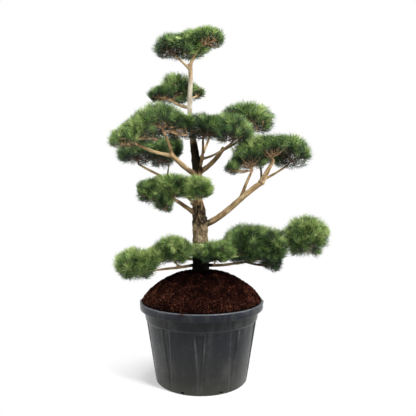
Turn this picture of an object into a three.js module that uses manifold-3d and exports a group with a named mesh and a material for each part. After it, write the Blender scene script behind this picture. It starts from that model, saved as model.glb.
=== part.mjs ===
// A cloud-pruned lodgepole pine in a black nursery pot, in millimetres, +Z up.
// The origin is the centre of the pot's flat underside, and the best side of the tree faces -Y.
// Every limb is one tapering solid, and every clipped mass of needles is one solid of its own:
// a stem that forks into twigs, a small core, and sprays of needles that stand out of it.

import * as THREE from "three";
import { mergeVertices } from "three/addons/utils/BufferGeometryUtils.js";
import Module from "manifold-3d";

const wasm = await Module();
wasm.setup();

// Clearances
const SEAT_GAP = 0.35; // between two solids that touch in the real plant
const SPRAY_GAP = 4; // between a needle and any limb
const NEEDLE_GAP = 7; // between the middle lines of two needles of different buds

// Pot
const POT_HEIGHT = 379;
const RIM_RADIUS = 300;
const RIM_BAND = 33;
const RIM_TOP_WIDTH = 17;
const RIM_ROUND = 4;
const COLLAR_HEIGHT = 48;
const COLLAR_STEP = 3.5;
const WALL_FOOT_RADIUS = 221;
const WALL_SLOPE = 0.16;
const WALL = 4;
const FOOT_ROUND = 9;
const FLUTE_COUNT = 10;
const FLUTE_DEPTH = 10;
const FLUTE_HALF_WIDTH = 24;
const FLUTE_BOTTOM = 0.7; // width of a flute's flat bottom beside its mouth
const FLUTE_FADE = 0.25; // share of width and depth that is left at the foot
const FLUTE_TOP = 288;
const FLUTE_FOOT = 34;
const FLUTE_TURN = -1; // degrees
const FLUTE_STATIONS = 6; // vertices round the pot from one flute to the next
const DRAIN_COUNT = 8;
const DRAIN_WIDTH = 17;
const DRAIN_HEIGHT = 11;
const DRAIN_LEVEL = 10.3; // of the middle of each opening
const DRAIN_CUT = 20;
const DRAIN_TURN = 23.5; // degrees

// Potting mix, heaped over the root ball
const MOUND_RADIUS = 290;
const MOUND_HEIGHT = 142;
const MOUND_ROUND = 2.2; // power of the distance from the axis: the higher, the flatter the top
const MOUND_SHOULDER = 0.82; // power of what is left: the lower, the steeper the edge
const MOUND_RINGS = 6;
const MOUND_CROWDING = 0.72; // power that draws the rings towards the edge
const MOUND_SIDES = 30;
const MOUND_LUMP = 3;
const PLUG_GAP = 2; // between the mix in the pot and the lip of the rim
const PLUG_RISE = 2; // of the mix in the pot into the heap

// Trunk: [x, y, height, radius] from below the flat cut at the ground up to the fork
const TRUNK_STATIONS = [
  [-3, 0, 498, 46],
  [-4, 0, 528, 41],
  [-6, -4, 631, 38],
  [-9, 0, 751, 37.5],
  [-15, 6, 815, 32],
  [-19, 11, 880, 23],
  [-21, 14, 985, 24.5],
  [-30, 17, 1075, 21.5],
  [-45, 24, 1177, 16.5],
  [-58, 18, 1285, 12],
  [-59, 10, 1370, 12],
  [-55, 4, 1452, 11.5],
  [-57, 0, 1538, 11],
];
const TRUNK_CUT = 510;
const TRUNK_SIDES = 12;
const TRUNK_RINGS = 20;
const TRUNK_LUMP = 0.025;
const ROOT_LOBES = 5;
const ROOT_LOBE_SHARE = 0.13;
const ROOT_FLARE_HEIGHT = 45;

// Limbs: where each leaves its parent (a height on the trunk, a share along a limb), where its
// tip is, how far its middle bows from a straight line, its root and tip radii, and, where it
// winds, how much further it bows near its root than near its tip
const LIMBS = [
  ["bough_low_left", "trunk", 553, [-222, -130, 541], [0, 0, -2], 8.5, 5],
  ["bough_low_left_fork", "bough_low_left", 0.42, [-128, -78, 592], [-8, 0, -6], 5.5, 4],
  ["bough_low_right", "trunk", 548, [196, -12, 562], [0, 0, -6], 9, 5.5],
  ["bough_low_front", "bough_low_right", 0.3, [66, -72, 588], [0, -4, -10], 5.5, 4],
  ["bough_far_right", "bough_low_right", 0.86, [446, 20, 652], [12, -4, -16], 5.5, 4.2],
  ["bough_low_back_left", "trunk", 580, [-112, 168, 578], [0, 0, -10], 9, 6],
  ["bough_low_back_right", "trunk", 566, [112, 168, 572], [0, 0, -8], 9, 6],
  ["bough_right", "trunk", 742, [298, -30, 955], [0, 0, -16], 16, 13, [0, 0, -34]],
  ["bough_right_upper", "bough_right", 0.97, [338, -32, 1040], [-3, 0, -4], 13.5, 9.5],
  ["bough_right_inner", "bough_right", 0.64, [237, -40, 994], [-3, 0, 0], 9, 6.5],
  ["bough_right_tip", "bough_right_upper", 0.16, [420, 26, 1036], [0, 0, -3], 6.5, 5],
  ["bough_right_back", "bough_right", 0.93, [306, 128, 1040], [8, 0, -16], 7, 5],
  ["bough_mid_left", "trunk", 786, [-116, -84, 862], [0, 0, 2], 13.5, 8.5],
  ["bough_mid_back", "trunk", 842, [-86, 152, 900], [0, 0, -8], 10, 6],
  ["bough_back_left", "trunk", 915, [-322, 140, 1052], [0, 0, -10], 9.5, 6],
  ["bough_back_left_fork", "bough_back_left", 0.52, [-172, 108, 1046], [0, 0, 0], 5.5, 4],
  ["bough_high_left", "trunk", 984, [-142, -122, 1077], [0, -4, -5], 13.5, 11],
  ["bough_high_left_tip", "bough_high_left", 0.95, [-290, -172, 1116], [0, 0, -8], 8.5, 6],
  ["bough_high_left_crown", "bough_high_left", 0.96, [-166, -152, 1164], [4, 0, 4], 8, 6],
  ["bough_middle", "trunk", 1000, [7, -54, 1136], [8, 0, -8], 9, 6],
  ["bough_high_right", "trunk", 1000, [109, -30, 1122], [5, 0, -13], 13, 10],
  ["bough_middle_right", "bough_middle", 0.52, [138, -86, 1132], [0, 0, -12], 6, 5],
  ["bough_high_right_back", "bough_high_right", 0.93, [222, 104, 1208], [0, 0, -10], 7, 5.5],
  ["bough_high_back", "trunk", 1045, [40, 150, 1206], [0, 12, -12], 8.5, 5.5],
  ["bough_second_left", "trunk", 1328, [-134, 26, 1352], [0, 0, -7], 8.5, 5.5],
  ["bough_top_left", "trunk", 1508, [-132, -14, 1572], [-4, 0, 6], 6.5, 4.5],
  ["bough_top_right", "trunk", 1528, [-18, 4, 1608], [-4, 0, 0], 8, 6],
];
const LIMB_SIDES = 6;
const LIMB_RING_PITCH = 70;
const LEAST_RINGS = 2;
const MOST_RINGS = 6;
const LIMB_SAMPLE_PITCH = 8;
const COLLAR_SWELL = 0.3;
const COLLAR_LENGTH = 16;

// Pruned stubs at the lowest whorl: height on the trunk, heading in degrees, rise, length, radius
const STUBS = [
  ["stub_left", 826, 205, 38, 50, 11],
  ["stub_back", 790, 75, 25, 56, 8],
];
const STUB_TAPER = 0.9; // end radius beside root radius

// Masses of needles: the limb that carries each, then its lobes. A lobe is a dome that holds
// everything down to the needle tips: [x, y, z of its widest level], [half width, half depth,
// height above that level, depth below it], number of sprays
const MASSES = [
  ["needles_low_left_tip", "bough_low_left", [[[-300, -140, 578], [102, 92, 72, 80], 8]]],
  ["needles_low_left", "bough_low_left_fork", [[[-136, -76, 622], [101, 88, 83, 60], 8]]],
  ["needles_low_right", "bough_low_right", [
    [[211, 0, 646], [112, 110, 108, 92], 9],
    [[330, 10, 640], [84, 80, 98, 84], 7],
    [[350, 0, 560], [46, 44, 38, 52], 3],
  ]],
  ["needles_low_front", "bough_low_front", [[[66, -112, 626], [84, 52, 54, 52], 7]]],
  ["needles_far_right", "bough_far_right", [[[520, 20, 692], [110, 100, 103, 109], 10]]],
  ["needles_low_back_left", "bough_low_back_left", [[[-158, 232, 604], [104, 98, 62, 46], 6]]],
  ["needles_low_back_right", "bough_low_back_right", [[[152, 236, 600], [104, 98, 66, 46], 6]]],
  ["needles_right_crown", "bough_right_upper", [[[330, -30, 1122], [112, 104, 62, 60], 8]]],
  ["needles_right_inner", "bough_right_inner", [
    [[228, -34, 1070], [84, 92, 76, 78], 8],
    [[146, -40, 1018], [44, 44, 30, 30], 3],
  ]],
  ["needles_right_tip", "bough_right_tip", [[[442, 20, 1100], [99, 100, 93, 86], 8]]],
  ["needles_right_back", "bough_right_back", [[[318, 192, 1104], [104, 94, 62, 46], 6]]],
  ["needles_mid_left", "bough_mid_left", [
    [[-228, -112, 918], [76, 70, 56, 74], 6],
    [[-132, -112, 926], [84, 72, 66, 52], 5],
    [[-165, -112, 842], [42, 44, 34, 38], 3],
  ]],
  ["needles_mid_front", "trunk", [[[-13, -118, 920], [69, 54, 62, 54], 7]]],
  ["needles_mid_back", "bough_mid_back", [[[-118, 224, 932], [100, 92, 54, 46], 6]]],
  ["needles_back_left_tip", "bough_back_left", [[[-335, 158, 1118], [121, 100, 70, 62], 8]]],
  ["needles_back_left", "bough_back_left_fork", [
    [[-222, 140, 1104], [84, 84, 90, 84], 8],
    [[-146, 146, 1156], [48, 60, 50, 66], 3],
  ]],
  ["needles_high_left_tip", "bough_high_left_tip", [
    [[-333, -176, 1132], [81, 84, 62, 42], 6],
    [[-258, -168, 1176], [92, 84, 92, 62], 7],
  ]],
  ["needles_high_left_crown", "bough_high_left_crown", [
    [[-182, -162, 1224], [96, 88, 86, 66], 8],
    [[-88, -104, 1204], [72, 62, 66, 68], 5],
  ]],
  ["needles_middle", "bough_middle", [[[22, -72, 1200], [96, 84, 79, 58], 7]]],
  ["needles_middle_right", "bough_middle_right", [[[148, -88, 1190], [94, 88, 75, 68], 8]]],
  ["needles_high_right", "bough_high_right_back", [[[232, 120, 1282], [142, 104, 100, 92], 10]]],
  ["needles_high_back", "bough_high_back", [[[60, 214, 1268], [104, 94, 62, 52], 6]]],
  ["needles_second_left", "bough_second_left", [
    [[-198, 24, 1392], [74, 66, 43, 42], 5],
    [[-127, 66, 1444], [83, 72, 71, 96], 6],
  ]],
  ["needles_second_right", "trunk", [[[-17, 66, 1412], [39, 42, 37, 34], 5]]],
  ["needles_top_left", "bough_top_left", [[[-143, -18, 1606], [91, 80, 71, 52], 8]]],
  ["needles_top_right", "bough_top_right", [
    [[-54, 20, 1644], [74, 64, 68, 84], 5],
    [[31, 0, 1662], [84, 76, 57, 50], 8],
  ]],
];
const CORE_SHARE = 0.64; // size of a lobe's core beside its dome
const CORE_LUMP = 0.07;
const SPACE_MARGIN = 0.08; // between two masses, as a share of their domes
const STEM_RISE = 18;
const STEM_SIDES = 4;
const STEM_RINGS = 3;
const TRUNK_STEM_RADIUS = 5; // of a mass that grows from the trunk with no bough of its own
const TWIG_SIDES = 3;
const TWIG_RADIUS = 3.6;
const TWIG_TIP_RADIUS = 2.2;
const TWIG_REACH = 0.55;
const TWIG_SAG = 0.06; // beside its length
const TWIG_BACK = 8; // how far before the hub the twigs to further lobes start
const FORK_AT = 0.15; // share from the hub to a lobe's middle where its low twig forks off
const FORK_FALL = 0.6;
const LOWEST_SPRAY = -0.6; // cosine of the polar angle of the lowest spray
const UPWARD = 0.2; // how far a spray leans from the dome's normal towards the light
const NEEDLE_LENGTH = 66;
const NEEDLE_SPREAD = 0.25; // share of the length that varies from needle to needle
const NEEDLE_TRIM = 4; // step by which a needle is shortened to fit
const STEM_TAPER = 0.4; // end radius of a stem beside its root radius
const NEEDLE_FORWARD = 0.35; // how far a needle leans from its face's normal to the bud's axis
const SHORTEST_NEEDLE = 16;
const BUD_RADIUS = 9;
const BUD_TOP_RADIUS = 5;
const BUD_HEIGHT = 8;
const BUD_ROOT = 22;
const BUD_ROOM = 12; // between a bud and any limb

// Materials
const bark = new THREE.MeshStandardMaterial({ color: 0x8b7d66, roughness: 0.92, metalness: 0 });
const needles = new THREE.MeshStandardMaterial({ color: 0x4c6434, roughness: 0.6, metalness: 0 });
const plastic = new THREE.MeshStandardMaterial({ color: 0x33353a, roughness: 0.5, metalness: 0 });
const mix = new THREE.MeshStandardMaterial({ color: 0x3a1e16, roughness: 1, metalness: 0 });

const pine = new THREE.Group();
const UP = new THREE.Vector3(0, 0, 1);
const radians = THREE.MathUtils.degToRad;
const GOLDEN_ANGLE = Math.PI * (3 - Math.sqrt(5));

// Park and Miller's generator, so that every growth of the tree is the same one
function seeded(seed) {
  let state = seed;
  return () => {
    state = (state * 16807) % 2147483647;
    return state / 2147483647;
  };
}

// A closed three.js geometry as a solid that can be joined and cut
function solidOf(geometry) {
  const bare = geometry.index ? geometry.toNonIndexed() : geometry.clone();
  for (const name of Object.keys(bare.attributes)) {
    if (name !== "position") bare.deleteAttribute(name);
  }
  const merged = mergeVertices(bare, 1e-3);
  return new wasm.Manifold(
    new wasm.Mesh({
      numProp: 3,
      vertProperties: new Float32Array(merged.getAttribute("position").array),
      triVerts: new Uint32Array(merged.index.array),
    }),
  );
}

function geometryOf(solid) {
  const mesh = solid.getMesh();
  return new THREE.BufferGeometry()
    .setAttribute("position", new THREE.BufferAttribute(new Float32Array(mesh.vertProperties), 3))
    .setIndex(new THREE.BufferAttribute(new Uint32Array(mesh.triVerts), 1));
}

// Cutting can leave scraps, and only the largest body is kept
function largest(solid) {
  return solid.decompose().reduce((best, body) => (body.volume() > best.volume() ? body : best));
}

function add(name, solid, material) {
  const geometry = geometryOf(solid);
  geometry.computeVertexNormals();
  const mesh = new THREE.Mesh(geometry, material);
  mesh.name = name;
  pine.add(mesh);
}

// A round bar bent along a curve: radiusAt takes the share along it and the angle round it
function bentBar(curve, radiusAt, sides, rings) {
  const bar = new THREE.CylinderGeometry(1, 1, 1, sides, rings);
  const place = bar.getAttribute("position");
  const frames = curve.computeFrenetFrames(rings, false);
  for (let i = 0; i < place.count; i++) {
    const ring = Math.round((place.getY(i) + 0.5) * rings);
    const [x, z] = [place.getX(i), place.getZ(i)];
    const share = ring / rings;
    const radius = radiusAt(share, Math.atan2(z, x));
    const across = frames.normals[ring];
    const other = new THREE.Vector3().crossVectors(across, frames.tangents[ring]);
    const point = curve.getPointAt(share).addScaledVector(across, x * radius);
    point.addScaledVector(other, z * radius);
    place.setXYZ(i, point.x, point.y, point.z);
  }
  return solidOf(bar);
}

// Pot and potting mix

const wallRadius = (z) => WALL_FOOT_RADIUS + WALL_SLOPE * z;

// Share of a flute's full size at a height: 1 at its top, fading towards its foot
function fluteShare(z) {
  const rise = THREE.MathUtils.clamp((z - FLUTE_FOOT) / (FLUTE_TOP - FLUTE_FOOT), 0, 1);
  return THREE.MathUtils.lerp(FLUTE_FADE, 1, rise);
}

// The pot's shell, turned from its profile. In each row [radius, height, fluted] the vertices
// crowd together at the flutes, and a fluted row is pressed in at the first two of each flute.
function makeShell(wall) {
  const bandFoot = POT_HEIGHT - RIM_BAND;
  const collarFoot = bandFoot - COLLAR_HEIGHT;
  const inner = (z) => wallRadius(z) - wall;
  const rows = [
    [0, 0, false],
    [wallRadius(0) - FOOT_ROUND, 0, false],
    [wallRadius(FOOT_ROUND), FOOT_ROUND, false],
    [wallRadius(FLUTE_FOOT), FLUTE_FOOT, true],
    [wallRadius(FLUTE_TOP), FLUTE_TOP, true],
    [wallRadius(collarFoot) + COLLAR_STEP, collarFoot, false],
    [wallRadius(bandFoot) + COLLAR_STEP, bandFoot, false],
    [RIM_RADIUS - 1, bandFoot, false],
    [RIM_RADIUS, POT_HEIGHT - RIM_ROUND, false],
    [RIM_RADIUS - RIM_ROUND, POT_HEIGHT, false],
    [RIM_RADIUS - RIM_TOP_WIDTH, POT_HEIGHT, false],
    [inner(bandFoot), bandFoot, false],
    [inner(collarFoot), collarFoot, false],
    [inner(FLUTE_TOP), FLUTE_TOP, true],
    [inner(FLUTE_FOOT), FLUTE_FOOT, true],
    [inner(FOOT_ROUND), wall, false],
    [0, wall, false],
  ];
  const segments = FLUTE_COUNT * FLUTE_STATIONS;
  const pitch = (2 * Math.PI) / FLUTE_COUNT;
  const lathe = new THREE.LatheGeometry(rows.map(([r, z]) => new THREE.Vector2(r, z)), segments);
  const place = lathe.getAttribute("position");
  for (let i = 0; i <= segments; i++) {
    const flute = Math.floor((i % segments) / FLUTE_STATIONS);
    const station = i % FLUTE_STATIONS;
    rows.forEach(([r, z, fluted], j) => {
      const half = (FLUTE_HALF_WIDTH * fluteShare(z)) / wallRadius(z);
      const panel = (pitch - 2 * half) / (FLUTE_STATIONS - 3);
      const across = station < 2 ? FLUTE_BOTTOM * half * (2 * station - 1) : half + (station - 2) * panel;
      const angle = radians(FLUTE_TURN) + flute * pitch + across;
      const radius = fluted && station < 2 ? r - FLUTE_DEPTH * fluteShare(z) : r;
      place.setXYZ(i * rows.length + j, radius * Math.sin(angle), z, radius * Math.cos(angle));
    });
  }
  return solidOf(lathe.rotateX(Math.PI / 2));
}

function makePot() {
  let pot = makeShell(WALL);
  for (let i = 0; i < DRAIN_COUNT; i++) {
    const turn = radians(DRAIN_TURN + (i * 360) / DRAIN_COUNT);
    const hole = new THREE.BoxGeometry(DRAIN_WIDTH, DRAIN_CUT, DRAIN_HEIGHT);
    hole.translate(0, -wallRadius(FOOT_ROUND), DRAIN_LEVEL).rotateZ(turn);
    pot = pot.subtract(solidOf(hole));
  }
  return pot;
}

// Height of the heaped mix above the rim at a distance from the axis
function moundHeight(r) {
  return MOUND_HEIGHT * Math.pow(1 - Math.pow(r / MOUND_RADIUS, MOUND_ROUND), MOUND_SHOULDER);
}

// A plug that fills the pot under a mound that spreads over the rim
function makeMix(socket) {
  const rimLevel = POT_HEIGHT + SEAT_GAP;
  const plugRadius = RIM_RADIUS - RIM_TOP_WIDTH - PLUG_GAP;
  const plugHeight = rimLevel + PLUG_RISE;
  const plug = new THREE.CylinderGeometry(plugRadius, plugRadius, plugHeight, MOUND_SIDES)
    .rotateX(Math.PI / 2)
    .translate(0, 0, plugHeight / 2);
  const inPot = largest(solidOf(plug).subtract(makeShell(WALL + SEAT_GAP)));
  const random = seeded(41);
  const profile = [new THREE.Vector2(0, rimLevel), new THREE.Vector2(MOUND_RADIUS, rimLevel)];
  for (let i = 1; i <= MOUND_RINGS; i++) {
    const r = i < MOUND_RINGS ? MOUND_RADIUS * Math.pow(1 - i / MOUND_RINGS, MOUND_CROWDING) : 0;
    profile.push(new THREE.Vector2(r, rimLevel + moundHeight(r)));
  }
  const mound = new THREE.LatheGeometry(profile, MOUND_SIDES);
  const place = mound.getAttribute("position");
  for (let side = 0; side < MOUND_SIDES; side++) {
    for (let j = 2; j < profile.length - 1; j++) {
      const i = side * profile.length + j;
      place.setY(i, place.getY(i) + MOUND_LUMP * (2 * random() - 1));
    }
  }
  for (let j = 0; j < profile.length; j++) place.setY(MOUND_SIDES * profile.length + j, place.getY(j));
  return inPot.add(solidOf(mound.rotateX(Math.PI / 2))).subtract(socket);
}

// Trunk and limbs

const trunkCurve = new THREE.CatmullRomCurve3(TRUNK_STATIONS.map(([x, y, z]) => new THREE.Vector3(x, y, z)));

// The trunk's radius at a height, between the stations
function trunkRadius(height) {
  const above = TRUNK_STATIONS.findIndex(([, , z]) => z > height);
  if (above < 1) return TRUNK_STATIONS[above ? TRUNK_STATIONS.length - 1 : 0][3];
  const [, , z0, r0] = TRUNK_STATIONS[above - 1];
  const [, , z1, r1] = TRUNK_STATIONS[above];
  return THREE.MathUtils.lerp(r0, r1, THREE.MathUtils.smoothstep(height, z0, z1));
}

// The share along the trunk's curve where it reaches a height
function trunkShare(height) {
  let [low, high] = [0, 1];
  for (let i = 0; i < 30; i++) {
    const middle = (low + high) / 2;
    if (trunkCurve.getPointAt(middle).z < height) low = middle;
    else high = middle;
  }
  return low;
}

function makeTrunk(extra) {
  const random = seeded(7);
  const lumps = Array.from({ length: TRUNK_RINGS + 1 }, () => 1 + TRUNK_LUMP * (2 * random() - 1));
  const radiusAt = (share, angle) => {
    const height = trunkCurve.getPointAt(share).z;
    const flare = Math.exp(-(height - TRUNK_STATIONS[0][2]) / ROOT_FLARE_HEIGHT);
    const lobes = 1 + ROOT_LOBE_SHARE * flare * Math.cos(ROOT_LOBES * angle);
    return trunkRadius(height) * lobes * lumps[Math.round(share * TRUNK_RINGS)] + extra;
  };
  const grown = bentBar(trunkCurve, radiusAt, TRUNK_SIDES, TRUNK_RINGS);
  return grown.trimByPlane([0, 0, 1], TRUNK_CUT - extra);
}

// A limb's centreline: from its parent's centreline to its tip it bows by as much at its middle,
// and where it winds, it bows further near its root and less near its tip
function limbCurve(start, tip, bow, wind = [0, 0, 0]) {
  const handle = (share, side) => {
    const point = start.clone().lerp(tip, share).addScaledVector(new THREE.Vector3(...bow), 4 / 3);
    return point.addScaledVector(new THREE.Vector3(...wind), side);
  };
  return new THREE.CubicBezierCurve3(start, handle(1 / 3, 1), handle(2 / 3, -1), tip);
}

function makeLimb(limb, extra) {
  const length = limb.curve.getLength();
  const radiusAt = (share) => {
    const swell = 1 + COLLAR_SWELL * Math.exp((-share * length) / COLLAR_LENGTH);
    return THREE.MathUtils.lerp(limb.root, limb.end, share) * swell + extra;
  };
  const rings = THREE.MathUtils.clamp(Math.round(length / LIMB_RING_PITCH), LEAST_RINGS, MOST_RINGS);
  return bentBar(limb.curve, radiusAt, LIMB_SIDES, rings);
}

const limbs = new Map();
limbs.set("trunk", {
  curve: trunkCurve,
  radiusAt: (share) => trunkRadius(trunkCurve.getPointAt(share).z),
  grown: makeTrunk(SEAT_GAP),
});

function growLimb(name, parent, at, tip, bow, root, end, wind) {
  const from = limbs.get(parent);
  const start = from.curve.getPointAt(parent === "trunk" ? trunkShare(at) : at);
  const limb = { curve: limbCurve(start, tip, bow, wind), root, end };
  limb.radiusAt = (share) => THREE.MathUtils.lerp(root, end, share);
  limb.grown = makeLimb(limb, SEAT_GAP);
  let solid = makeLimb(limb, 0);
  for (const earlier of limbs.values()) {
    if (solid.intersect(earlier.grown).volume() > 0) solid = largest(solid.subtract(earlier.grown));
  }
  limbs.set(name, limb);
  add(name, solid, bark);
}

// Needles

// The surface of a lobe's dome: upwards it is taller than it is deep below
function domePoint(lobe, direction, share) {
  const [halfWidth, halfDepth, height, depth] = lobe.size;
  return new THREE.Vector3(
    lobe.at.x + share * halfWidth * direction.x,
    lobe.at.y + share * halfDepth * direction.y,
    lobe.at.z + share * (direction.z > 0 ? height : depth) * direction.z,
  );
}

// How far out a point lies: 0 at the middle of the dome and 1 on its surface
function domeShare(lobe, point) {
  const [halfWidth, halfDepth, height, depth] = lobe.size;
  const { x, y, z } = point.clone().sub(lobe.at);
  return Math.hypot(x / halfWidth, y / halfDepth, z / (z > 0 ? height : depth));
}

// Distance from a lobe's middle to its surface towards another point
function reachTowards(lobe, point) {
  const way = point.clone().sub(lobe.at);
  return way.length() / Math.max(domeShare(lobe, point), 1e-6);
}

const masses = MASSES.map(([name, carrier, lobes]) => ({
  name,
  carrier,
  grown: [],
  lobes: lobes.map(([at, size, sprays]) => ({ at: new THREE.Vector3(...at), size, sprays })),
}));

// Where the domes of two masses meet, each keeps to its own side of a plane between them
function findBorders(mass) {
  const borders = [];
  for (const other of masses) {
    if (other === mass) continue;
    for (const foreign of other.lobes) {
      for (const lobe of mass.lobes) {
        const own = reachTowards(lobe, foreign.at);
        const theirs = reachTowards(foreign, lobe.at);
        const way = foreign.at.clone().sub(lobe.at);
        if (way.length() > own + theirs) continue;
        const middle = (way.length() * own) / (own + theirs);
        way.normalize();
        borders.push({ lobe, way, limit: way.dot(lobe.at) + middle - 1 });
      }
    }
  }
  return borders;
}

// A point belongs to the mass in whose domes it lies deepest
function belongsTo(mass, point) {
  const depthIn = (owner) => Math.min(...owner.lobes.map((lobe) => domeShare(lobe, point)));
  const own = depthIn(mass);
  return own < 1 && masses.every((other) => other === mass || depthIn(other) > own + SPACE_MARGIN);
}

const limbSamples = [];
function sampleLimbs() {
  for (const [name, limb] of limbs) {
    const count = Math.ceil(limb.curve.getLength() / LIMB_SAMPLE_PITCH);
    for (let i = 0; i <= count; i++) {
      const share = i / count;
      limbSamples.push({ name, point: limb.curve.getPointAt(share), radius: limb.radiusAt(share) });
    }
  }
}

function clearOfLimbs(point, margin) {
  return limbSamples.every((sample) => sample.point.distanceTo(point) > sample.radius + margin);
}

// A needle from a foot along a direction, shortened until it stays in the dome and
// clear of the needles of the mass's earlier buds, or nothing where it has no room
function needleRoom(mass, foot, direction, wanted) {
  for (let length = wanted; length > SHORTEST_NEEDLE; length -= NEEDLE_TRIM) {
    const tip = foot.clone().addScaledVector(direction, length);
    if (!belongsTo(mass, tip) || !clearOfLimbs(tip, SPRAY_GAP)) continue;
    const needle = new THREE.Line3(foot, tip);
    if (mass.grown.some((earlier) => gapBetween(needle, earlier) < NEEDLE_GAP)) continue;
    const middle = foot.clone().lerp(tip, 0.5);
    return belongsTo(mass, middle) && clearOfLimbs(middle, SPRAY_GAP) ? needle : null;
  }
  return null;
}

// The least distance between two needles, measured at a few points along both
function gapBetween(needle, other) {
  const point = new THREE.Vector3();
  const nearest = new THREE.Vector3();
  let gap = Infinity;
  for (const [from, to] of [[needle, other], [other, needle]]) {
    for (let share = 0.25; share <= 1; share += 0.125) {
      from.at(share, point);
      to.closestPointToPoint(point, true, nearest);
      gap = Math.min(gap, nearest.distanceTo(point));
    }
  }
  return gap;
}

// A bud on a short root, tapering to a flat top, with a needle drawn out of each of its faces
function makeSpray(mass, foot, axis, random) {
  const aside = Math.abs(axis.z) < 0.9 ? UP : new THREE.Vector3(1, 0, 0);
  const across = new THREE.Vector3().crossVectors(axis, aside).normalize();
  const other = new THREE.Vector3().crossVectors(axis, across);
  const turn = 2 * Math.PI * random();
  const corner = (radius, height, sixths) => {
    const angle = turn + (sixths * Math.PI) / 3;
    const point = foot.clone().addScaledVector(axis, height);
    point.addScaledVector(across, radius * Math.cos(angle));
    return point.addScaledVector(other, radius * Math.sin(angle));
  };
  const low = [0, 2, 4].map((sixths) => corner(BUD_RADIUS, 0, sixths));
  const high = [1, 3, 5].map((sixths) => corner(BUD_TOP_RADIUS, BUD_HEIGHT, sixths));
  const root = foot.clone().addScaledVector(axis, -BUD_ROOT);
  const corners = [];
  const grown = [];
  const drawOut = (a, b, c) => {
    const middle = a.clone().add(b).add(c).divideScalar(3);
    const outward = b.clone().sub(a).cross(c.clone().sub(a)).normalize();
    const heading = outward.addScaledVector(axis, NEEDLE_FORWARD).normalize();
    const length = NEEDLE_LENGTH * (1 - NEEDLE_SPREAD * random());
    const needle = needleRoom(mass, middle, heading, length);
    if (needle) {
      corners.push(a, b, needle.end, b, c, needle.end, c, a, needle.end);
      grown.push(needle);
    } else {
      corners.push(a, b, c);
    }
  };
  for (let i = 0; i < 3; i++) {
    const next = (i + 1) % 3;
    drawOut(low[i], low[next], high[i]);
    drawOut(low[next], high[next], high[i]);
    corners.push(low[next], low[i], root);
  }
  drawOut(high[0], high[1], high[2]);
  mass.grown.push(...grown);
  return solidOf(new THREE.BufferGeometry().setFromPoints(corners));
}

// A twig that sags a little between its ends
function makeTwig(start, end) {
  const curve = limbCurve(start, end, [0, 0, -TWIG_SAG * start.distanceTo(end)]);
  const radiusAt = (share) => THREE.MathUtils.lerp(TWIG_RADIUS, TWIG_TIP_RADIUS, share);
  return bentBar(curve, radiusAt, TWIG_SIDES, LEAST_RINGS);
}

function makeCore(lobe, borders, random) {
  const ball = new THREE.IcosahedronGeometry(1, 0);
  const place = ball.getAttribute("position");
  const lumps = new Map();
  for (let i = 0; i < place.count; i++) {
    const direction = new THREE.Vector3().fromBufferAttribute(place, i);
    const key = direction.toArray().map((v) => v.toFixed(3)).join();
    if (!lumps.has(key)) lumps.set(key, CORE_SHARE * (1 + CORE_LUMP * (2 * random() - 1)));
    const point = domePoint(lobe, direction, lumps.get(key));
    place.setXYZ(i, point.x, point.y, point.z);
  }
  let core = solidOf(ball);
  for (const border of borders) {
    if (border.lobe === lobe) core = core.trimByPlane(border.way.clone().negate().toArray(), -border.limit);
  }
  return core;
}

// Where a mass's stem starts, which way it heads and how thick it is
function stemOf(mass) {
  const carrier = limbs.get(mass.carrier);
  if (mass.carrier !== "trunk") {
    const heading = carrier.curve.getTangentAt(1);
    const start = carrier.curve.getPointAt(1).addScaledVector(heading, SEAT_GAP);
    return { start, heading, radius: carrier.end };
  }
  const { at, size } = mass.lobes[0];
  const share = trunkShare(at.z - size[3]);
  const start = carrier.curve.getPointAt(share);
  const heading = at.clone().sub(start).setZ(0).normalize();
  start.addScaledVector(heading, 0.5 * carrier.radiusAt(share));
  return { start, heading, radius: TRUNK_STEM_RADIUS };
}

function makeMass(mass, index) {
  const random = seeded(1000 + 77 * index);
  const borders = findBorders(mass);
  const stem = stemOf(mass);
  const hub = stem.start.clone().addScaledVector(stem.heading, STEM_RISE);
  const rise = new THREE.CatmullRomCurve3([stem.start, hub, mass.lobes[0].at]);
  const radiusAt = (share) => stem.radius * THREE.MathUtils.lerp(1, STEM_TAPER, share);
  const pieces = [bentBar(rise, radiusAt, STEM_SIDES, STEM_RINGS)];
  for (const lobe of mass.lobes) {
    pieces.push(makeCore(lobe, borders, random));
    if (lobe !== mass.lobes[0]) {
      pieces.push(makeTwig(hub.clone().addScaledVector(stem.heading, -TWIG_BACK), lobe.at));
    }
    const turn = 2 * Math.PI * random();
    const low = new THREE.Vector3(Math.cos(turn), Math.sin(turn), -FORK_FALL).normalize();
    const end = domePoint(lobe, low, TWIG_REACH);
    if (belongsTo(mass, end) && clearOfLimbs(end, SPRAY_GAP)) {
      pieces.push(makeTwig(hub.clone().lerp(lobe.at, FORK_AT), end));
    }
    for (let i = 0; i < lobe.sprays; i++) {
      const level = 1 - ((i + 0.5) / lobe.sprays) * (1 - LOWEST_SPRAY);
      const angle = i * GOLDEN_ANGLE + turn;
      const flat = Math.sqrt(1 - level * level);
      const outward = new THREE.Vector3(flat * Math.cos(angle), flat * Math.sin(angle), level);
      const foot = domePoint(lobe, outward, CORE_SHARE);
      const [halfWidth, halfDepth, height] = lobe.size;
      const normal = outward.clone().divide(new THREE.Vector3(halfWidth, halfDepth, height)).normalize();
      const axis = normal.addScaledVector(UP, UPWARD * (1 + level)).normalize();
      if (belongsTo(mass, foot) && clearOfLimbs(foot, BUD_ROOM)) {
        pieces.push(makeSpray(mass, foot, axis, random));
      }
    }
  }
  let solid = wasm.Manifold.union(pieces);
  for (const limb of limbs.values()) {
    if (solid.intersect(limb.grown).volume() > 0) solid = solid.subtract(limb.grown);
  }
  add(mass.name, largest(solid), needles);
}

// The whole plant

add("pot", makePot(), plastic);
add("potting_mix", makeMix(makeTrunk(SEAT_GAP)), mix);
add("trunk", makeTrunk(0), bark);

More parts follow.
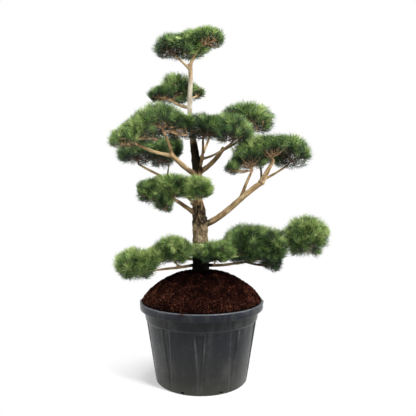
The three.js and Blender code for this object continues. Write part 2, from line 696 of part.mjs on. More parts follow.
for (const [name, parent, at, tip, ...shape] of LIMBS) {
  growLimb(name, parent, at, new THREE.Vector3(...tip), ...shape);
}
for (const [name, height, heading, rise, length, radius] of STUBS) {
  const way = new THREE.Vector3(length, 0, 0).applyAxisAngle(new THREE.Vector3(0, -1, 0), radians(rise));
  way.applyAxisAngle(UP, radians(heading));
  const tip = trunkCurve.getPointAt(trunkShare(height)).add(way);
  growLimb(name, "trunk", height, tip, [0, 0, 0], radius, STUB_TAPER * radius);
}
sampleLimbs();
masses.forEach(makeMass);

export default pine;
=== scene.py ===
# A cloud-pruned lodgepole pine in a black nursery pot: fine bark, twigs, needles, potting mix and pot.
# The limbs and the domes of needles are those of the part's source, in its millimetres.
import math
import bpy
import numpy as np
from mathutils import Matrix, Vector, kdtree, noise


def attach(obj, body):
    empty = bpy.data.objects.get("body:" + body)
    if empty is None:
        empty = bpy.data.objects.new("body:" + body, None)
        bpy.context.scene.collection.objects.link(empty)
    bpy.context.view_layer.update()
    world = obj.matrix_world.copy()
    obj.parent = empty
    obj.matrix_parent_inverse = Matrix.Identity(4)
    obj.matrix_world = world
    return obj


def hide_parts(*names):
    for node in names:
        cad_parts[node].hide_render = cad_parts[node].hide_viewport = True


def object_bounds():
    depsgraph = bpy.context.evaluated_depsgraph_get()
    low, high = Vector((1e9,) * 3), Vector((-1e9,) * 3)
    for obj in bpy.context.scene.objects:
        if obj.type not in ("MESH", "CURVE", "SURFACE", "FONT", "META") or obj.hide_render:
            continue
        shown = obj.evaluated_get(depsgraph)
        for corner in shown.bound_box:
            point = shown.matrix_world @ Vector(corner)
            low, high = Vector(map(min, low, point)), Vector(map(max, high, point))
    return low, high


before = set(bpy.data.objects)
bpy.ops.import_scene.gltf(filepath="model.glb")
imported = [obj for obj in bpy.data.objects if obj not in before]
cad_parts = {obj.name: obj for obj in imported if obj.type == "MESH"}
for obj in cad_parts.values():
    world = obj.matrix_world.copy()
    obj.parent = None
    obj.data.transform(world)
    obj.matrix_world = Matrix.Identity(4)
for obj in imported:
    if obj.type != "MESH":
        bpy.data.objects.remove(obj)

cad_low, cad_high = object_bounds()
for thing in bpy.context.selected_objects:
    thing.select_set(False)

MM = 0.001
GOLDEN_ANGLE = math.pi * (3 - math.sqrt(5))
UP = np.array([0.0, 0.0, 1.0])

# Pot
POT_HEIGHT = 379
RIM_RADIUS = 300
RIM_BAND = 33
RIM_TOP_WIDTH = 17
RIM_ROUND = 4
EDGE_ROUND = 3  # of the collar's and the rim's smaller edges
COLLAR_HEIGHT = 48
COLLAR_STEP = 3.5
WALL_FOOT_RADIUS = 221
WALL_SLOPE = 0.16
WALL = 4
FOOT_ROUND = 9
FLUTE_COUNT = 10
FLUTE_DEPTH = 10
FLUTE_HALF_WIDTH = 24
FLUTE_BOTTOM = 0.7  # width of a flute's flat bottom beside its mouth
FLUTE_FADE = 0.25  # share of width and depth that is left at the foot
FLUTE_TOP = 288
FLUTE_FOOT = 34
FLUTE_START = 12  # height where the flutes begin, then ease in and out over the next two
FLUTE_EASE_IN = 24
FLUTE_EASE_OUT = 10
FLUTE_TURN = -1  # degrees
SHOULDER_HIGHLIGHT = 2.4  # width of the painted highlight line along a flute's shoulder
DRAIN_COUNT = 8
DRAIN_WIDTH = 17
DRAIN_HEIGHT = 11
DRAIN_CUT = 22
DRAIN_TURN = 23.5  # degrees
POT_STEPS = 600

# Potting mix
MOUND_RADIUS = 290
MOUND_HEIGHT = 142
MOUND_ROUND = 2.2  # power of the distance from the axis: the higher, the flatter the top
MOUND_SHOULDER = 0.82  # power of what is left: the lower, the steeper the edge
MOUND_STEP = 2.6
MOUND_SIDES = 420
MOUND_CROWDING = 0.8  # power that draws the rings towards the edge
SKIRT_SHARE = 0.962  # of the mound's radius, where its skirt meets its floor inside the pot
SKIRT_DROP = 26
CRUMBS = 16000
SMALLEST_CRUMB = 1.2
LARGEST_CRUMB = 5.5
STEM_ROOM = 44  # round the trunk's foot, kept clear of crumbs
# Painted shade under the crown: the mix is darker within this radius of the trunk, fading out over the width
# below
CROWN_SHADE_RADIUS = 205
CROWN_SHADE_FADE = 90
FIBRES = 3300
FIBRE_LENGTHS = (10, 38)
FIBRE_LIFTS = (0.8, 4.5)
FIBRE_TAPER = (0.5, 1, 1, 0.9, 0.35)
SHRED_BUNCH = 6  # shreds that hang over the rim together, at the bunch's turn in radians
SHRED_TURN = -0.29
LOOSE_SHREDS = 14
SHRED_DROP = 20
SHRED_RADIUS = 0.8

# Trunk: [x, y, height, radius]
TRUNK_STATIONS = [
    (-3, 0, 498, 46),
    (-4, 0, 528, 41),
    (-6, -4, 631, 38),
    (-9, 0, 751, 37.5),
    (-15, 6, 815, 32),
    (-19, 11, 880, 23),
    (-21, 14, 985, 24.5),
    (-30, 17, 1075, 21.5),
    (-45, 24, 1177, 16.5),
    (-58, 18, 1285, 12),
    (-59, 10, 1370, 12),
    (-55, 4, 1452, 11.5),
    (-57, 0, 1538, 11),
]
WOOD_FOOT = 505  # lower end of the fine wood, 5 below the cut of the source's trunk
# How dark the trunk is by height: painted shade at the foot and under the middle masses, the old whorl dark,
# the leader pale
TRUNK_DARK_AND_PAINTED_SHADE = [
    (500, 1.0),
    (622, 1.0),
    (650, 0.2),
    (735, 0.1),
    (752, 0.93),
    (842, 0.96),
    (864, 0.15),
    (985, 0.1),
    (1010, 0.95),
    (1140, 0.96),
    (1185, 0.1),
    (1540, 0.05),
]
# How young the trunk's bark is by height
AGE = [
    (520, 0.1),
    (740, 0.2),
    (860, 0.45),
    (960, 0.5),
    (1160, 0.5),
    (1200, 0.95),
    (1430, 0.9),
    (1480, 0.6),
]
# Where pale patches break the dark of the old whorl, by height
PATCHED = [(735, 0), (750, 1), (845, 1), (860, 0)]
ROOT_LOBES = 5
ROOT_LOBE_SHARE = 0.13
ROOT_FLARE_HEIGHT = 45

# Limbs: parent, height on the trunk or share along a limb, tip, bow, root radius, tip radius, and
# for a winding one how much further it bows near its root than near its tip
LIMBS = {
    "bough_low_left": ("trunk", 553, (-222, -130, 541), (0, 0, -2), 8.5, 5),
    "bough_low_left_fork": ("bough_low_left", 0.42, (-128, -78, 592), (-8, 0, -6), 5.5, 4),
    "bough_low_right": ("trunk", 548, (196, -12, 562), (0, 0, -6), 9, 5.5),
    "bough_low_front": ("bough_low_right", 0.3, (66, -72, 588), (0, -4, -10), 5.5, 4),
    "bough_far_right": ("bough_low_right", 0.86, (446, 20, 652), (12, -4, -16), 5.5, 4.2),
    "bough_low_back_left": ("trunk", 580, (-112, 168, 578), (0, 0, -10), 9, 6),
    "bough_low_back_right": ("trunk", 566, (112, 168, 572), (0, 0, -8), 9, 6),
    "bough_right": ("trunk", 742, (298, -30, 955), (0, 0, -16), 16, 13, (0, 0, -34)),
    "bough_right_upper": ("bough_right", 0.97, (338, -32, 1040), (-3, 0, -4), 13.5, 9.5),
    "bough_right_inner": ("bough_right", 0.64, (237, -40, 994), (-3, 0, 0), 9, 6.5),
    "bough_right_tip": ("bough_right_upper", 0.16, (420, 26, 1036), (0, 0, -3), 6.5, 5),
    "bough_right_back": ("bough_right", 0.93, (306, 128, 1040), (8, 0, -16), 7, 5),
    "bough_mid_left": ("trunk", 786, (-116, -84, 862), (0, 0, 2), 13.5, 8.5),
    "bough_mid_back": ("trunk", 842, (-86, 152, 900), (0, 0, -8), 10, 6),
    "bough_back_left": ("trunk", 915, (-322, 140, 1052), (0, 0, -10), 9.5, 6),
    "bough_back_left_fork": ("bough_back_left", 0.52, (-172, 108, 1046), (0, 0, 0), 5.5, 4),
    "bough_high_left": ("trunk", 984, (-142, -122, 1077), (0, -4, -5), 13.5, 11),
    "bough_high_left_tip": ("bough_high_left", 0.95, (-290, -172, 1116), (0, 0, -8), 8.5, 6),
    "bough_high_left_crown": ("bough_high_left", 0.96, (-166, -152, 1164), (4, 0, 4), 8, 6),
    "bough_middle": ("trunk", 1000, (7, -54, 1136), (8, 0, -8), 9, 6),
    "bough_high_right": ("trunk", 1000, (109, -30, 1122), (5, 0, -13), 13, 10),
    "bough_middle_right": ("bough_middle", 0.52, (138, -86, 1132), (0, 0, -12), 6, 5),
    "bough_high_right_back": ("bough_high_right", 0.93, (222, 104, 1208), (0, 0, -10), 7, 5.5),
    "bough_high_back": ("trunk", 1045, (40, 150, 1206), (0, 12, -12), 8.5, 5.5),
    "bough_second_left": ("trunk", 1328, (-134, 26, 1352), (0, 0, -7), 8.5, 5.5),
    "bough_top_left": ("trunk", 1508, (-132, -14, 1572), (-4, 0, 6), 6.5, 4.5),
    "bough_top_right": ("trunk", 1528, (-18, 4, 1608), (-4, 0, 0), 8, 6),
}
COLLAR_SWELL = 0.3
COLLAR_LENGTH = 16
COLLAR_FIT = 1.4  # the fused wood's collar beside the source's
LIMB_STEP = 5
LIMB_SIDES = 28
SWAY = (0.5, 0.5, 0.6)
SWAY_LENGTH = 23
SWAY_EASE = 30
RIPPLE = 0.045
RIPPLE_LENGTHS = (9, 31)

# Pruned stubs: height on the trunk, heading and rise in degrees, length, radius
STUBS = {
    "stub_left": (826, 205, 38, 50, 11),
    "stub_back": (790, 75, 25, 56, 8),
}
STUB_TAPER = 0.1

# Knobs: burls round the whorl, knuckles where boughs part as limb, share and size, and the trunk's knots
BURL_HEIGHTS = range(752, 850, 9)
BURLS_ROUND = 3
KNUCKLES = [
    ("bough_right", 0.97, 13.5),
    ("bough_right", 0.58, 13),
    ("bough_high_left", 0.95, 12.5),
    ("bough_high_right", 0.94, 10.5),
    ("bough_right_upper", 0.32, 9.5),
    ("bough_low_right", 0.86, 7),
    ("bough_low_left", 0.42, 7.5),
    ("bough_back_left", 0.52, 8.5),
]
KNOT_HEIGHTS = (905, 948, 1010, 1062, 1108, 1150, 1204, 1246, 1318, 1402, 1440, 1490)

# Bark
WOOD_VOXEL = 2.34
FULL_RELIEF_RADIUS = 36
LEAST_RELIEF = 0.16
PLATE_SIZE = 13
PLATE_RELIEF = 1.9
CRACK_CELL = 9
CRACK_WIDTH = 0.16
CRACK_RELIEF = 2.2
YOUNG_CRACKS = 0.3
OLD_BARK_TOP = 900
OLD_BARK_FADE = 120
BAND_RAGGED = 22  # how far the edges of light and dark wood wander up and down
PATCH_SIZE = (11, 11, 26)
PATCH_LIGHT = 0.62
CUT_REACH = 17  # of the pale wood at a pruned stub's end
GRAIN_STRETCH = 0.34  # length of the bark's pattern across a limb beside along it
GRAIN_SHIFT = 300.0  # from one limb's pattern to the next limb's
NEAR_SAMPLES = 12

# Masses: carrier, how light its green is as painted light and shade over the whole mass, and its lobes as
# middle, size and sprays.
# A lobe's size is its half width, half depth, rise and drop.
MASSES = {
    "low_left_tip": ("bough_low_left", 0.7, [((-300, -140, 578), (102, 92, 72, 80), 8)]),
    "low_left": ("bough_low_left_fork", 0.5, [((-136, -76, 622), (101, 88, 83, 60), 8)]),
    "low_right": ("bough_low_right", 0.06, [
        ((211, 0, 646), (112, 110, 108, 92), 9),
        ((330, 10, 640), (84, 80, 98, 84), 7),
        ((350, 0, 560), (46, 44, 38, 52), 3),
    ]),
    "low_front": ("bough_low_front", 0.35, [((66, -112, 626), (84, 52, 54, 52), 7)]),
    "far_right": ("bough_far_right", 0.5, [((520, 20, 692), (110, 100, 103, 109), 10)]),
    "low_back_left": ("bough_low_back_left", 0.4, [((-158, 232, 604), (104, 98, 62, 46), 6)]),
    "low_back_right": ("bough_low_back_right", 0.4, [((152, 236, 600), (104, 98, 66, 46), 6)]),
    "right_crown": ("bough_right_upper", 0.12, [((330, -30, 1122), (112, 104, 62, 60), 8)]),
    "right_inner": ("bough_right_inner", 0.35, [
        ((228, -34, 1070), (84, 92, 76, 78), 8),
        ((146, -40, 1018), (44, 44, 30, 30), 3),
    ]),
    "right_tip": ("bough_right_tip", 0.25, [((442, 20, 1100), (99, 100, 93, 86), 8)]),
    "right_back": ("bough_right_back", 0.4, [((318, 192, 1104), (104, 94, 62, 46), 6)]),
    "mid_left": ("bough_mid_left", 0.32, [
        ((-228, -112, 918), (76, 70, 56, 74), 6),
        ((-132, -112, 926), (84, 72, 66, 52), 5),
        ((-165, -112, 842), (42, 44, 34, 38), 3),
    ]),
    "mid_front": ("trunk", 0.95, [((-13, -118, 920), (69, 54, 62, 54), 7)]),
    "mid_back": ("bough_mid_back", 0.4, [((-118, 224, 932), (100, 92, 54, 46), 6)]),
    "back_left_tip": ("bough_back_left", 0.0, [((-335, 158, 1118), (121, 100, 70, 62), 8)]),
    "back_left": ("bough_back_left_fork", 0.15, [
        ((-222, 140, 1104), (84, 84, 90, 84), 8),
        ((-146, 146, 1156), (48, 60, 50, 66), 3),
    ]),
    "high_left_tip": ("bough_high_left_tip", 0.52, [
        ((-333, -176, 1132), (81, 84, 62, 42), 6),
        ((-258, -168, 1176), (92, 84, 92, 62), 7),
    ]),
    "high_left_crown": ("bough_high_left_crown", 0.06, [
        ((-182, -162, 1224), (96, 88, 86, 66), 8),
        ((-88, -104, 1204), (72, 62, 66, 68), 5),
    ]),
    "middle": ("bough_middle", 0.0, [((22, -72, 1200), (96, 84, 79, 58), 7)]),
    "middle_right": ("bough_middle_right", 0.12, [((148, -88, 1190), (94, 88, 75, 68), 8)]),
    "high_right": ("bough_high_right_back", 0.26, [((232, 120, 1282), (142, 104, 100, 92), 10)]),
    "high_back": ("bough_high_back", 0.4, [((60, 214, 1268), (104, 94, 62, 52), 6)]),
    "second_left": ("bough_second_left", 0.25, [
        ((-198, 24, 1392), (74, 66, 43, 42), 5),
        ((-127, 66, 1444), (83, 72, 71, 96), 6),
    ]),
    "second_right": ("trunk", 0.45, [((-17, 66, 1412), (39, 42, 37, 34), 5)]),
    "top_left": ("bough_top_left", 0.0, [((-143, -18, 1606), (91, 80, 71, 52), 8)]),
    "top_right": ("bough_top_right", 0.55, [
        ((-54, 20, 1644), (74, 64, 68, 84), 5),
        ((31, 0, 1662), (84, 76, 57, 50), 8),
    ]),
}
# Masses whose twigs hang in shade
SHADED = {
    "low_right",
    "low_front",
    "back_left_tip",
    "back_left",
    "middle",
    "middle_right",
    "top_left",
    "right_tip",
}
TWIG_SHADE = 0.88

# Twigs
STEM_RISE = 18
TRUNK_STEM_RADIUS = 5  # of a mass that grows from the trunk with no bough of its own
STEM_TAPER = (0.97, 0.95, 0.85, 0.55, 0.35)
HEART_DROP = 0.3  # how low in its lower half a lobe's branches part
LOBE_STEM_RADII = (4.4, 2.8)
BRANCH_RADIUS = 3.3
TWIG_RADIUS = 1.9
SHOOT_RADIUS = 1.3
BRANCH_RINGS = 7
TWIG_RINGS = 4
TWIG_SAG = 0.08
KNEE_REACH = 0.78
FULL_TURN = 6.28

# Shoots
CASTS = 3600  # places tried in each lobe
CAST_REACH = 1.1
LOWEST_SHOOT = -0.75
SHOOT_PITCH = 17.5
SHOOT_LENGTH = 38
OUTWARD = (1.4, 1.4, 0.7)
UPWARD = 0.45
WAYWARD = 0.36
SPACE_MARGIN = 0.02  # between two masses, as a share of their domes
FULL_SIZE = 78  # mean size of a lobe whose shoots are full grown
LEAST_VIGOUR = 0.74
BLEND = 7  # how sharply neighbouring domes run together
DOME_LIMIT = 1.13
DEEPEST_FOOT = 0.92
SHORTEST_CLIMB = 0.12
INNER_SHARE = 0.08  # of the places in the middle of a dome that may carry a shoot
LIMB_ROOM = 4  # between a shoot and any limb
LIMB_SEARCH = 60  # more than any limb's radius and room
BATCH = 2000
# An underside is open to its branches below a level, out to a width, with its middle towards the front;
# flat high lobes are open further than low or deep ones
OPEN_BELOW = -0.04
OPEN_WIDTH = 0.7
OPEN_FRONT = 0.13
OPEN_LEVEL = 1000
FULL_DEPTH = 1.2
LOW_OPEN_BELOW = -0.3
LOW_OPEN_WIDTH = 0.42
# Small lobes of these masses carry their shoots further apart
TUFTED = {"mid_left", "low_right"}
TUFT_SPRAYS = 3
THIN_PITCH = 1.45

# Needles
SHOOT_NEEDLES = 37
NEEDLE_LENGTH = 46
NEEDLE_RADIUS = 1.0386  # of its three-sided section
SHORTEST_NEEDLE = 0.3  # beside a whole one
LOWEST_ANGLE = 64  # degrees between shoot and needle at the shoot's foot
ANGLE_FALL = 44
NEEDLE_KNEE = 0.42  # where a needle is widest and bends
NEEDLE_ROOM = 1.5  # between a needle and any limb
PROUD = 18  # past the source's box
RAGGED = 20
CLUMP = 42
TIP_SHARE = 0.6  # past which a shoot's needles are this year's
TIP_LIGHT = 2.1
SHADES = 6
# A shoot's tone is the number of its green: a base, and shares for the mass's painted light, painted light
# on a dome's upper side where growth is also fresher, and painted shade deep inside the dome
TONE_BASE = 0.5
TONE_PAINTED_LIGHT = 2.7
TONE_TOP_LIGHT = 1.5
TONE_PAINTED_SHADE = 3.2
MIDDLE_DEPTH = 0.68
TONE_SPREAD = 1.25

# Studio, in metres and watts
FLOOR_RADIUS = 14
WORLD_LIGHT = 0.27
CAMERA_PLACE = (0.031, -2.046, 0.8285)
CAMERA_LENS = 36
# Lamps: place, target, width, power
LAMPS = {
    "key": ((1.7, -2.0, 3.1), (0, 0, 0.9), 0.8, 200),
    "fill": ((-2.6, -1.6, 1.7), (0, 0, 0.8), 1.4, 40),
    "top": ((-0.3, 0.4, 3.6), (0, 0, 1.1), 1.0, 105),
    "right": ((2.7, -0.5, 0.7), (0, 0, 0.8), 1.2, 38),
    "left": ((-2.4, -0.7, 0.55), (0, 0, 0.3), 0.8, 16),
}


# Paths and limbs

class Path:
    """A polyline that is read by its share of length."""

    def __init__(self, points):
        self.points = np.asarray(points, float)
        steps = np.linalg.norm(np.diff(self.points, axis=0), axis=1)
        self.along = np.concatenate([[0], np.cumsum(steps)])
        self.length = self.along[-1]

    def at(self, share):
        s = np.asarray(share) * self.length
        return np.stack([np.interp(s, self.along, self.points[:, k]) for k in range(3)], -1)

    def heading(self, share):
        step = 2 / self.length
        way = self.at(min(share + step, 1)) - self.at(max(share - step, 0))
        return way / np.linalg.norm(way)


def through_stations(stations, steps=16):
    """A smooth path through the stations' points, as three.js draws its Catmull-Rom curve."""
    points = np.array([s[:3] for s in stations], float)
    ends = [2 * points[0] - points[1], *points, 2 * points[-1] - points[-2]]
    t = np.linspace(0, 1, steps, endpoint=False)[:, None]
    made = []
    for p0, p1, p2, p3 in zip(ends, ends[1:], ends[2:], ends[3:]):
        d0, d1, d2 = (max(np.linalg.norm(b - a), 1e-6) ** 0.5 for a, b in ((p0, p1), (p1, p2), (p2, p3)))
        m1 = ((p1 - p0) / d0 - (p2 - p0) / (d0 + d1) + (p2 - p1) / d1) * d1
        m2 = ((p2 - p1) / d1 - (p3 - p1) / (d1 + d2) + (p3 - p2) / d2) * d1
        made.append(
            p1 + m1 * t + (3 * (p2 - p1) - 2 * m1 - m2) * t**2 + (2 * (p1 - p2) + m1 + m2) * t**3
        )
    return Path(np.concatenate([*made, points[-1:]]))


def bowed(start, tip, bow, wind=(0, 0, 0), steps=24):
    t = np.linspace(0, 1, steps)[:, None]
    bow, wind = np.array(bow) * 4 / 3, np.array(wind)
    near = start + (tip - start) / 3 + bow + wind
    far = start + (tip - start) * 2 / 3 + bow - wind
    return Path((1 - t) ** 3 * start + 3 * t * (1 - t) ** 2 * near + 3 * t**2 * (1 - t) * far + t**3 * tip)


trunk_path = through_stations(TRUNK_STATIONS)


def trunk_radius(height):
    heights = [s[2] for s in TRUNK_STATIONS]
    radii = [s[3] for s in TRUNK_STATIONS]
    i = int(np.clip(np.searchsorted(heights, height), 1, len(heights) - 1))
    t = np.clip((height - heights[i - 1]) / (heights[i] - heights[i - 1]), 0, 1)
    return radii[i - 1] + (radii[i] - radii[i - 1]) * t * t * (3 - 2 * t)


def trunk_share(height):
    return np.interp(height, trunk_path.points[:, 2], trunk_path.along) / trunk_path.length


class Limb:
    """A path, and the radius as a function of the share along it."""

    def __init__(self, path, radius):
        self.path = path
        self.radius = radius


def grow_limbs():
    limbs = {"trunk": Limb(trunk_path, lambda s: trunk_radius(trunk_path.at(s)[2]))}
    for name, (parent, at, tip, bow, root, end, *wind) in LIMBS.items():
        share = trunk_share(at) if parent == "trunk" else at
        path = bowed(limbs[parent].path.at(share), np.array(tip, float), bow, *wind)
        limbs[name] = Limb(path, lambda s, a=root, b=end: a + (b - a) * s)
    for name, (height, heading, rise, length, radius) in STUBS.items():
        start = trunk_path.at(trunk_share(height))
        turn, lift = math.radians(heading), math.radians(rise)
        way = np.array([math.cos(turn) * math.cos(lift), math.sin(turn) * math.cos(lift), math.sin(lift)])
        path = bowed(start, start + length * way, (0, 0, 0))
        limbs[name] = Limb(path, lambda s, r=radius: r * (1 - STUB_TAPER * s))
    return limbs


limbs = grow_limbs()


def sample_limbs(step):
    """Rows along every limb: place, radius, the limb's number, the share along it and its heading."""
    rows = []
    for number, limb in enumerate(limbs.values()):
        for share in np.linspace(0, 1, max(3, int(limb.path.length / step))):
            rows.append((*limb.path.at(share), limb.radius(share), number, share, *limb.path.heading(share)))
    return np.array(rows)


# Mesh making

def make_piece(name, points, faces, materials, indices=None, smooth=False):
    """A piece from points in millimetres and a list of face arrays, each of one corner count."""
    mesh = bpy.data.meshes.new(name)
    mesh.vertices.add(len(points))
    mesh.vertices.foreach_set("co", (np.asarray(points) * MM).astype(np.float32).ravel())
    corners = np.concatenate([f.ravel() for f in faces]).astype(np.int32)
    sizes = np.concatenate([np.full(len(f), f.shape[1]) for f in faces])
    mesh.loops.add(len(corners))
    mesh.loops.foreach_set("vertex_index", corners)
    mesh.polygons.add(len(sizes))
    mesh.polygons.foreach_set("loop_start", (np.cumsum(sizes) - sizes).astype(np.int32))
    for material in materials:
        mesh.materials.append(material)
    if indices is not None:
        mesh.polygons.foreach_set("material_index", np.asarray(indices, np.int32))
    mesh.update(calc_edges=True)
    mesh.validate()
    mesh.shade_smooth() if smooth else mesh.shade_flat()
    piece = bpy.data.objects.new(name, mesh)
    bpy.context.collection.objects.link(piece)
    return piece


def tubes(paths, radii, sides):
    """Closed tubes along many paths at once: paths is (count, rings, 3) and radii (count, rings)."""
    count, rings, _ = paths.shape
    along = np.gradient(paths, axis=1)
    along /= np.linalg.norm(along, axis=2, keepdims=True) + 1e-9
    steep = np.abs(along[:, :1, 2:]) > 0.85
    side = np.cross(along, np.where(steep, np.array([1.0, 0, 0]), UP))
    side /= np.linalg.norm(side, axis=2, keepdims=True) + 1e-9
    other = np.cross(along, side)
    turn = np.arange(sides) * 2 * np.pi / sides
    ring = side[:, :, None] * np.cos(turn)[:, None] + other[:, :, None] * np.sin(turn)[:, None]
    points = (paths[:, :, None] + ring * radii[:, :, None, None]).reshape(-1, 3)
    start = (np.arange(count) * rings * sides)[:, None, None]
    level = (np.arange(rings - 1) * sides)[None, :, None]
    i = np.arange(sides)[None, None, :]
    j = (i + 1) % sides
    base = start + level
    quads = np.stack([base + i, base + j, base + sides + j, base + sides + i], -1).reshape(-1, 4)
    foot = start[:, 0] + np.arange(sides)[None, ::-1]
    head = start[:, 0] + (rings - 1) * sides + np.arange(sides)[None, :]
    return points, [quads, np.concatenate([foot, head])]


def joined(parts):
    """Several (points, [face arrays]) as one."""
    points, faces, offset = [], [], 0
    for some, lists in parts:
        points.append(some)
        faces += [f + offset for f in lists]
        offset += len(some)
    sizes = sorted({f.shape[1] for f in faces})
    return np.concatenate(points), [np.concatenate([f for f in faces if f.shape[1] == n]) for n in sizes]


def bands(first, last, sides):
    """Quads between the rings of a turned shape, from ring first to ring last."""
    level = (np.arange(first, last) * sides)[:, None]
    i = np.arange(sides)[None, :]
    j = (i + 1) % sides
    return np.stack([level + i, level + j, level + sides + j, level + sides + i], -1).reshape(-1, 4)


def fan(tip, ring, sides):
    """Triangles from one point to a ring whose first point is given."""
    i = np.arange(sides)
    return np.stack([np.full(sides, tip), ring + i, ring + (i + 1) % sides], -1)


def mesh_rows(mesh, what):
    """Every vertex's place or normal."""
    values = np.empty(len(mesh.vertices) * 3, np.float32)
    mesh.vertices.foreach_get(what, values)
    return values.reshape(-1, 3)


def keep_attribute(mesh, name, values, kind="FLOAT", field="value"):
    attribute = mesh.attributes.new(name, kind, "POINT")
    attribute.data.foreach_set(field, values.astype(np.float32).ravel())


# Materials

def new_material(name):
    material = bpy.data.materials.new(name)
    material.use_nodes = True
    nodes = material.node_tree.nodes
    return material, nodes, material.node_tree.links, nodes["Principled BSDF"]


def node(nodes, kind, **values):
    made = nodes.new(kind)
    for key, value in values.items():
        if key in made.inputs:
            made.inputs[key].default_value = value
        else:
            setattr(made, key, value)
    return made


def attribute(nodes, name, output="Fac"):
    return node(nodes, "ShaderNodeAttribute", attribute_name=name).outputs[output]


def spanned(nodes, links, source, start, end, low=0.0, high=1.0):
    """A value spread from start and end to low and high."""
    spans = {"From Min": start, "From Max": end, "To Min": low, "To Max": high}
    made = node(nodes, "ShaderNodeMapRange", **spans)
    links.new(source, made.inputs["Value"])
    return made.outputs["Result"]


def grey(value):
    return (value, value, value)


def ramp(nodes, links, source, stops):
    made = nodes.new("ShaderNodeValToRGB")
    elements = made.color_ramp.elements
    while len(elements) < len(stops):
        elements.new(0.5)
    for element, (at, colour) in zip(elements, stops):
        element.position = at
        element.color = (*colour, 1)
    links.new(source, made.inputs["Fac"])
    return made.outputs["Color"]


def mixed(nodes, links, share, first, second, blend="MIX"):
    made = nodes.new("ShaderNodeMix")
    made.data_type = "RGBA"
    made.blend_type = blend
    for key, value in ((0, share), (6, first), (7, second)):
        if isinstance(value, bpy.types.NodeSocket):
            links.new(value, made.inputs[key])
        else:
            made.inputs[key].default_value = value
    return made.outputs[2]


def stretched(nodes, links, scale):
    """Object coordinates, stretched along each axis."""
    place = nodes.new("ShaderNodeTexCoord")
    mapping = nodes.new("ShaderNodeMapping")
    mapping.inputs["Scale"].default_value = scale
    links.new(place.outputs["Object"], mapping.inputs["Vector"])
    return mapping.outputs["Vector"]


def fractal(nodes, links, vector, scale, detail=4, roughness=0.55):
    made = node(nodes, "ShaderNodeTexNoise", Scale=scale, Detail=detail, Roughness=roughness)
    links.new(vector, made.inputs["Vector"])
    return made.outputs["Fac"]


def bump(nodes, links, shader, height, strength, distance):
    made = node(nodes, "ShaderNodeBump", Strength=strength, Distance=distance)
    links.new(height, made.inputs["Height"])
    links.new(made.outputs["Normal"], shader.inputs["Normal"])


def needle_materials():
    """Plain greens from the dark inner sprays to the yellow-green tips; the darker ones stand as painted
    shade inside the masses.
    """
    greens = [
        (0.012, 0.027, 0.011),
        (0.032, 0.068, 0.022),
        (0.07, 0.137, 0.036),
        (0.127, 0.215, 0.054),
        (0.203, 0.3, 0.081),
        (0.335, 0.425, 0.138),
    ]
    made = []
    for i, green in enumerate(greens):
        material, _, _, shader = new_material(f"needle_green_{i}")
        shader.inputs["Base Color"].default_value = (*green, 1)
        shader.inputs["Roughness"].default_value = 0.45
        shader.inputs["Specular IOR Level"].default_value = 0.4
        made.append(material)
    return made


def twig_material(name, dimness):
    material, nodes, links, shader = new_material(name)
    place = stretched(nodes, links, (1, 1, 1))
    tone = fractal(nodes, links, place, 90, 5, 0.65)
    colour = ramp(nodes, links, tone, [
        (0.3, (0.09, 0.05, 0.024)),
        (0.52, (0.38, 0.24, 0.12)),
        (0.76, (0.62, 0.45, 0.26)),
    ])
    colour = mixed(nodes, links, dimness, colour, (0.03, 0.018, 0.01, 1))
    links.new(colour, shader.inputs["Base Color"])
    shader.inputs["Roughness"].default_value = 0.85
    bump(nodes, links, shader, fractal(nodes, links, place, 420, 3), 0.6, 0.0006)
    return material


def bark_material():
    """Scaly bark: age is 0 on the old grey-brown foot and 1 on pale young wood, and painted shade on the
    trunk, with the old whorl's dark, darkens it.
    """
    material, nodes, links, shader = new_material("pine_bark")
    place = attribute(nodes, "grain", "Vector")
    age = attribute(nodes, "age")
    broad = fractal(nodes, links, place, 34, 5, 0.6)
    fine = fractal(nodes, links, place, 150, 5, 0.65)
    old = ramp(nodes, links, broad, [
        (0.3, (0.06, 0.044, 0.026)),
        (0.44, (0.17, 0.135, 0.085)),
        (0.58, (0.26, 0.215, 0.137)),
        (0.74, (0.41, 0.355, 0.245)),
    ])
    golden = ramp(nodes, links, broad, [
        (0.3, (0.12, 0.07, 0.03)),
        (0.45, (0.26, 0.172, 0.082)),
        (0.6, (0.42, 0.31, 0.165)),
        (0.76, (0.6, 0.49, 0.3)),
    ])
    pale = ramp(nodes, links, broad, [
        (0.3, (0.1, 0.07, 0.036)),
        (0.42, (0.32, 0.285, 0.215)),
        (0.54, (0.5, 0.475, 0.405)),
        (0.72, (0.64, 0.62, 0.55)),
    ])
    colour = mixed(nodes, links, spanned(nodes, links, age, 0.0, 0.5), old, golden)
    colour = mixed(nodes, links, spanned(nodes, links, age, 0.5, 1.0), colour, pale)
    speckle = ramp(nodes, links, fine, [
        (0.34, (0.42, 0.36, 0.3)),
        (0.5, grey(1)),
        (0.72, (1.25, 1.22, 1.15)),
    ])
    colour = mixed(nodes, links, 0.7, colour, speckle, "MULTIPLY")
    scars = fractal(nodes, links, place, 52, 5, 0.66)
    scars = ramp(nodes, links, scars, [(0.5, grey(0)), (0.6, grey(0.5))])
    bare = spanned(nodes, links, age, 0.6, 0.95, 1.0, 0.15)
    scars = mixed(nodes, links, 1.0, scars, bare, "MULTIPLY")
    colour = mixed(nodes, links, scars, colour, (0.04, 0.025, 0.014, 1))
    # Painted shade: the trunk's foot and the stretch under the middle masses are darkened, as is the old
    # whorl
    colour = mixed(nodes, links, attribute(nodes, "dark_and_painted_shade"), colour, (0.004, 0.003, 0.0021, 1))
    colour = mixed(nodes, links, attribute(nodes, "crack"), colour, (0.018, 0.012, 0.008, 1))
    links.new(colour, shader.inputs["Base Color"])
    shader.inputs["Roughness"].default_value = 0.9
    shader.inputs["Specular IOR Level"].default_value = 0.06
    bump(nodes, links, shader, fine, 0.8, 0.0016)
    return material


